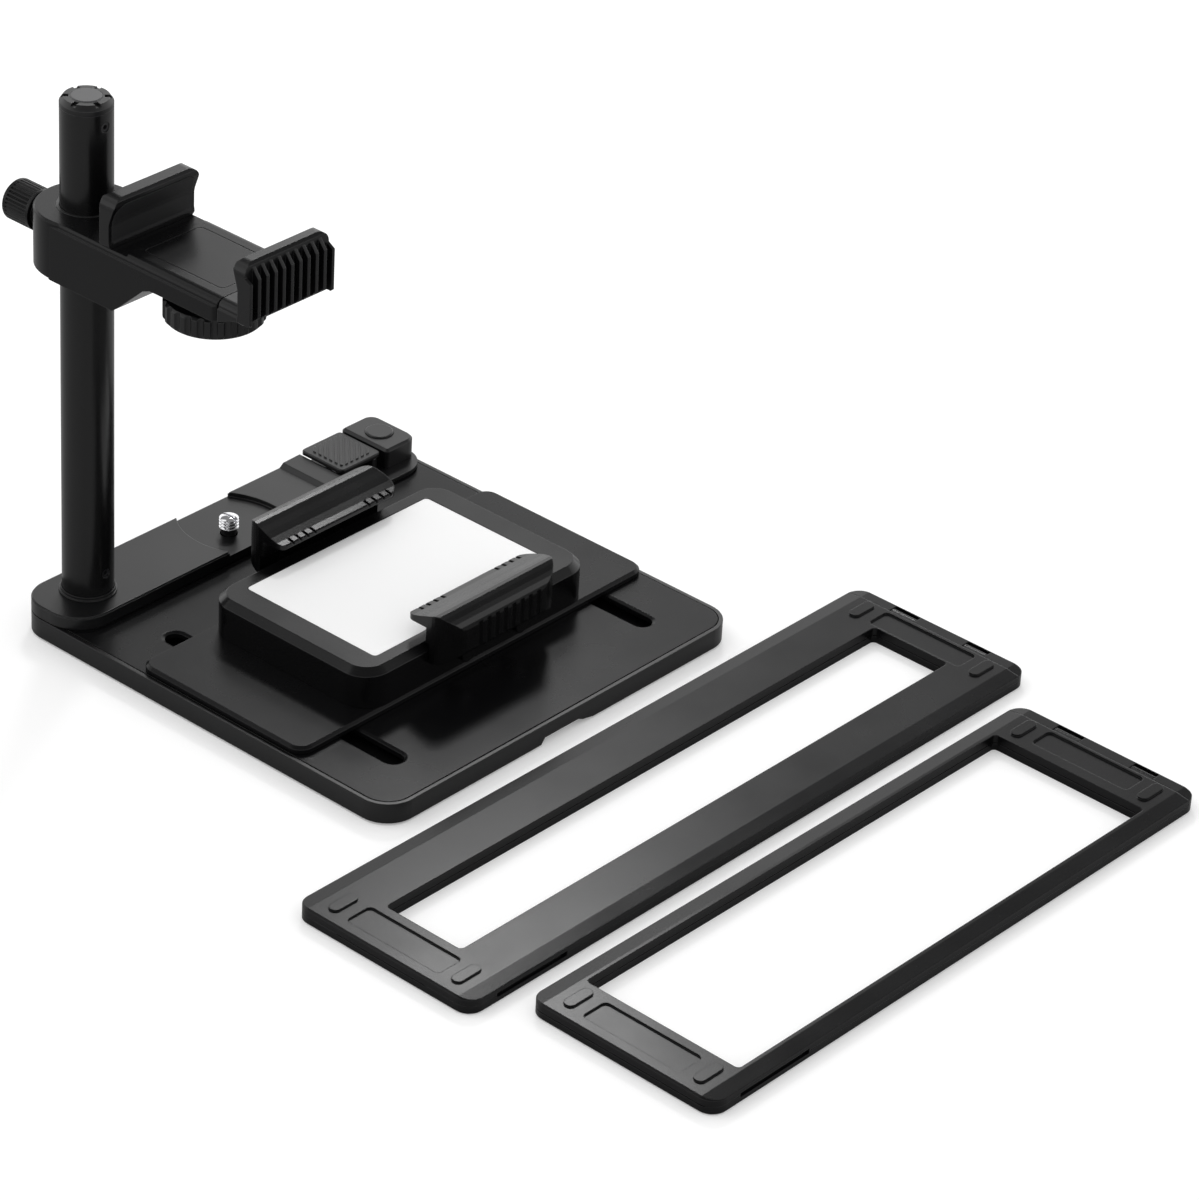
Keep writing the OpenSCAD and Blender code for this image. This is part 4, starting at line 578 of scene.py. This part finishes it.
@dataclass
class ThreadedStud:
    """The chrome quarter inch stud with its neck, thread, dome and slot, all sizes in mm."""

    seat_z: float = 10.5
    neck_r: float = 2.55
    neck_h: float = 1.9
    root_r: float = 2.62
    crest_r: float = 3.15
    pitch: float = 1.1
    turns: int = 3
    thread_gap: float = 0.1
    crest_starts: float = 0.35
    crest_ends: float = 0.5
    root_starts: float = 0.85
    dome: tuple[Span, ...] = ((5.55, 3.15), (5.85, 2.8), (6.08, 2.2), (6.22, 1.4), (6.28, 0.6))
    slot_w: float = 0.9
    slot_depth: float = 1.4
    cutter_l: float = 10.0
    corners: int = 48
    smooth_below: float = 35.0

    def profile(self) -> list[Span]:
        """Gives the rings above the neck's foot, with each turn of the thread drawn as a ridge.

        Returns:
            Height above the seat and radius of each ring.
        """
        rings = [(self.neck_h, self.neck_r)]
        ridge = ((0.0, self.root_r), (self.crest_starts, self.crest_r),
                 (self.crest_ends, self.crest_r), (self.root_starts, self.root_r))
        for turn in range(self.turns):
            foot = self.neck_h + self.thread_gap + turn * self.pitch
            rings += [(foot + share * self.pitch, radius) for share, radius in ridge]
        return rings + list(self.dome)

    def build(self) -> Piece:
        """Models the stud where the CAD's stud stands.

        Returns:
            The stud.
        """
        low, high = (Vector(corner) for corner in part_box("accessory_stud"))
        centre = (low + high) / 2
        bpy.ops.object.select_all(action="DESELECT")
        bpy.ops.mesh.primitive_circle_add(vertices=self.corners, radius=self.neck_r * MM, fill_type="NGON",
                                          location=(centre.x, centre.y, self.seat_z * MM))
        stud = bpy.context.active_object
        stud.name = "threaded_stud"
        bpy.ops.object.transform_apply(location=True, rotation=True, scale=True)
        bpy.ops.object.mode_set(mode="EDIT")
        bpy.ops.mesh.select_all(action="SELECT")
        height, radius = 0.0, self.neck_r
        for ring_z, ring_r in self.profile():
            rise = (0.0, 0.0, (ring_z - height) * MM)
            bpy.ops.mesh.extrude_region_move(TRANSFORM_OT_translate={"value": rise})
            factor = ring_r / radius
            bpy.ops.transform.resize(value=(factor, factor, 1.0),
                                     center_override=(centre.x, centre.y, (self.seat_z + ring_z) * MM))
            height, radius = ring_z, ring_r
        bpy.ops.mesh.select_all(action="SELECT")
        bpy.ops.mesh.normals_make_consistent(inside=False)
        bpy.ops.object.mode_set(mode="OBJECT")
        self.cut_slot(stud, Vector((centre.x, centre.y, high.z)))
        bpy.ops.object.select_all(action="DESELECT")
        stud.select_set(True)
        bpy.context.view_layer.objects.active = stud
        bpy.ops.object.shade_smooth_by_angle(angle=math.radians(self.smooth_below))
        return stud

    def cut_slot(self, stud: Piece, top: Vector) -> None:
        """Cuts the screwdriver slot across the stud's end.

        Args:
            stud: The stud.
            top: The middle of its end.
        """
        bpy.ops.object.select_all(action="DESELECT")
        bpy.ops.mesh.primitive_cube_add(size=1.0, location=top)
        cutter = bpy.context.active_object
        cutter.scale = (self.slot_w * MM, self.cutter_l * MM, 2 * self.slot_depth * MM)
        bpy.ops.object.transform_apply(location=True, rotation=True, scale=True)
        cut = stud.modifiers.new("slot", "BOOLEAN")
        cut.operation = "DIFFERENCE"
        cut.object = cutter
        bpy.context.view_layer.objects.active = stud
        bpy.ops.object.modifier_apply(modifier="slot")
        bpy.data.objects.remove(cutter, do_unlink=True)


class BaseUnit(SubAssembly):
    """The slotted base, the back rail and the press pad."""

    FINISHES = {
        CHARCOAL: ("base_tray", "back_rail", "end_block", "block_disc", "press_pad"),
        COVER_PLASTIC: ("top_cover",),
        RUBBER: ("rubber_feet",),
        STEEL: ("weight_plate", "cover_screws", "rail_screws", "pad_pin", "pad_spring"),
        CHROME: ("accessory_stud",)}

    def build(self) -> list[Piece]:
        """Adds the threaded stud in place of the plain one, its neck painted black as shade at the stud's
        base.

        Returns:
            The stud.
        """
        maker = ThreadedStud()
        stud = maker.build()
        self.wardrobe.dress(CHROME, stud)
        # The neck's faces get black steel: painted shade at the stud's base.
        stud.data.materials.append(self.wardrobe.material(BLACK_STEEL))
        painted_shade_top_z = (maker.seat_z + maker.neck_h) * MM
        for face in stud.data.polygons:
            if face.center.z < painted_shade_top_z:
                face.material_index = 1
        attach(stud, "base")
        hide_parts("accessory_stud")
        return [stud]


class Column(SubAssembly):
    """The column with its foot, cap and bolt."""

    FINISHES = {
        COLUMN_BLACK: ("column",),
        KNOB_PLASTIC: ("column_foot", "column_cap"),
        CAP_GREY: ("cap_disc",),
        STEEL: ("column_plug", "column_bolt"),
        BLACK_STEEL: ("column_set_screws",)}


class LightPanel(SubAssembly):
    """The sliding light panel with its film guides."""

    FINISHES = {
        COVER_PLASTIC: ("slide_plate",),
        CASE_PLASTIC: ("light_case", "light_back"),
        GUIDE_PLASTIC: ("front_guide", "back_guide"),
        KNOB_PLASTIC: ("power_button",),
        DIFFUSER: ("diffuser",),
        IVORY: ("slot_shoes",),
        BOARD: ("led_board",),
        LED: ("led_chips",),
        FOIL: ("battery",),
        STEEL: ("shoe_screws", "case_screws", "usb_port", "power_switch", "front_guide_rods",
                "back_guide_rods", "front_guide_springs", "back_guide_springs")}


class PhoneArm(SubAssembly):
    """The arm on the column with its jaws and knobs."""

    FINISHES = {
        ARM_PLASTIC: ("arm", "arm_cover"),
        JAW_PLASTIC: ("fixed_jaw", "front_jaw"),
        RUBBER: ("fixed_jaw_pad", "front_jaw_pad"),
        KNOB_PLASTIC: ("jaw_knob",),
        SIDE_KNOB: ("side_knob",),
        DARK_BEARING: ("column_bush",),
        BRASS: ("clamp_shoe",),
        STEEL: ("jaw_screws", "pinion", "rack")}


class FilmHolders(SubAssembly):
    """The two hinged film holders that lie in front."""

    FINISHES = {
        HOLDER_PLASTIC: ("narrow_holder", "narrow_lid", "wide_holder", "wide_lid"),
        STEEL: ("narrow_pins", "wide_pins")}


def main() -> None:
    """Builds the scene in order."""
    logging.basicConfig(level=logging.INFO, format="%(message)s")
    bpy.context.scene.view_settings.view_transform = "Standard"
    PhotoCamera().build()
    Studio().build()
    wardrobe = Wardrobe()
    for kind in (BaseUnit, Column, LightPanel, PhoneArm, FilmHolders):
        unit = kind(wardrobe)
        unit.dress()
        for piece in unit.build():
            LOG.info("%s: %s", kind.__name__, piece.name)


if __name__ == "__main__":
    main()
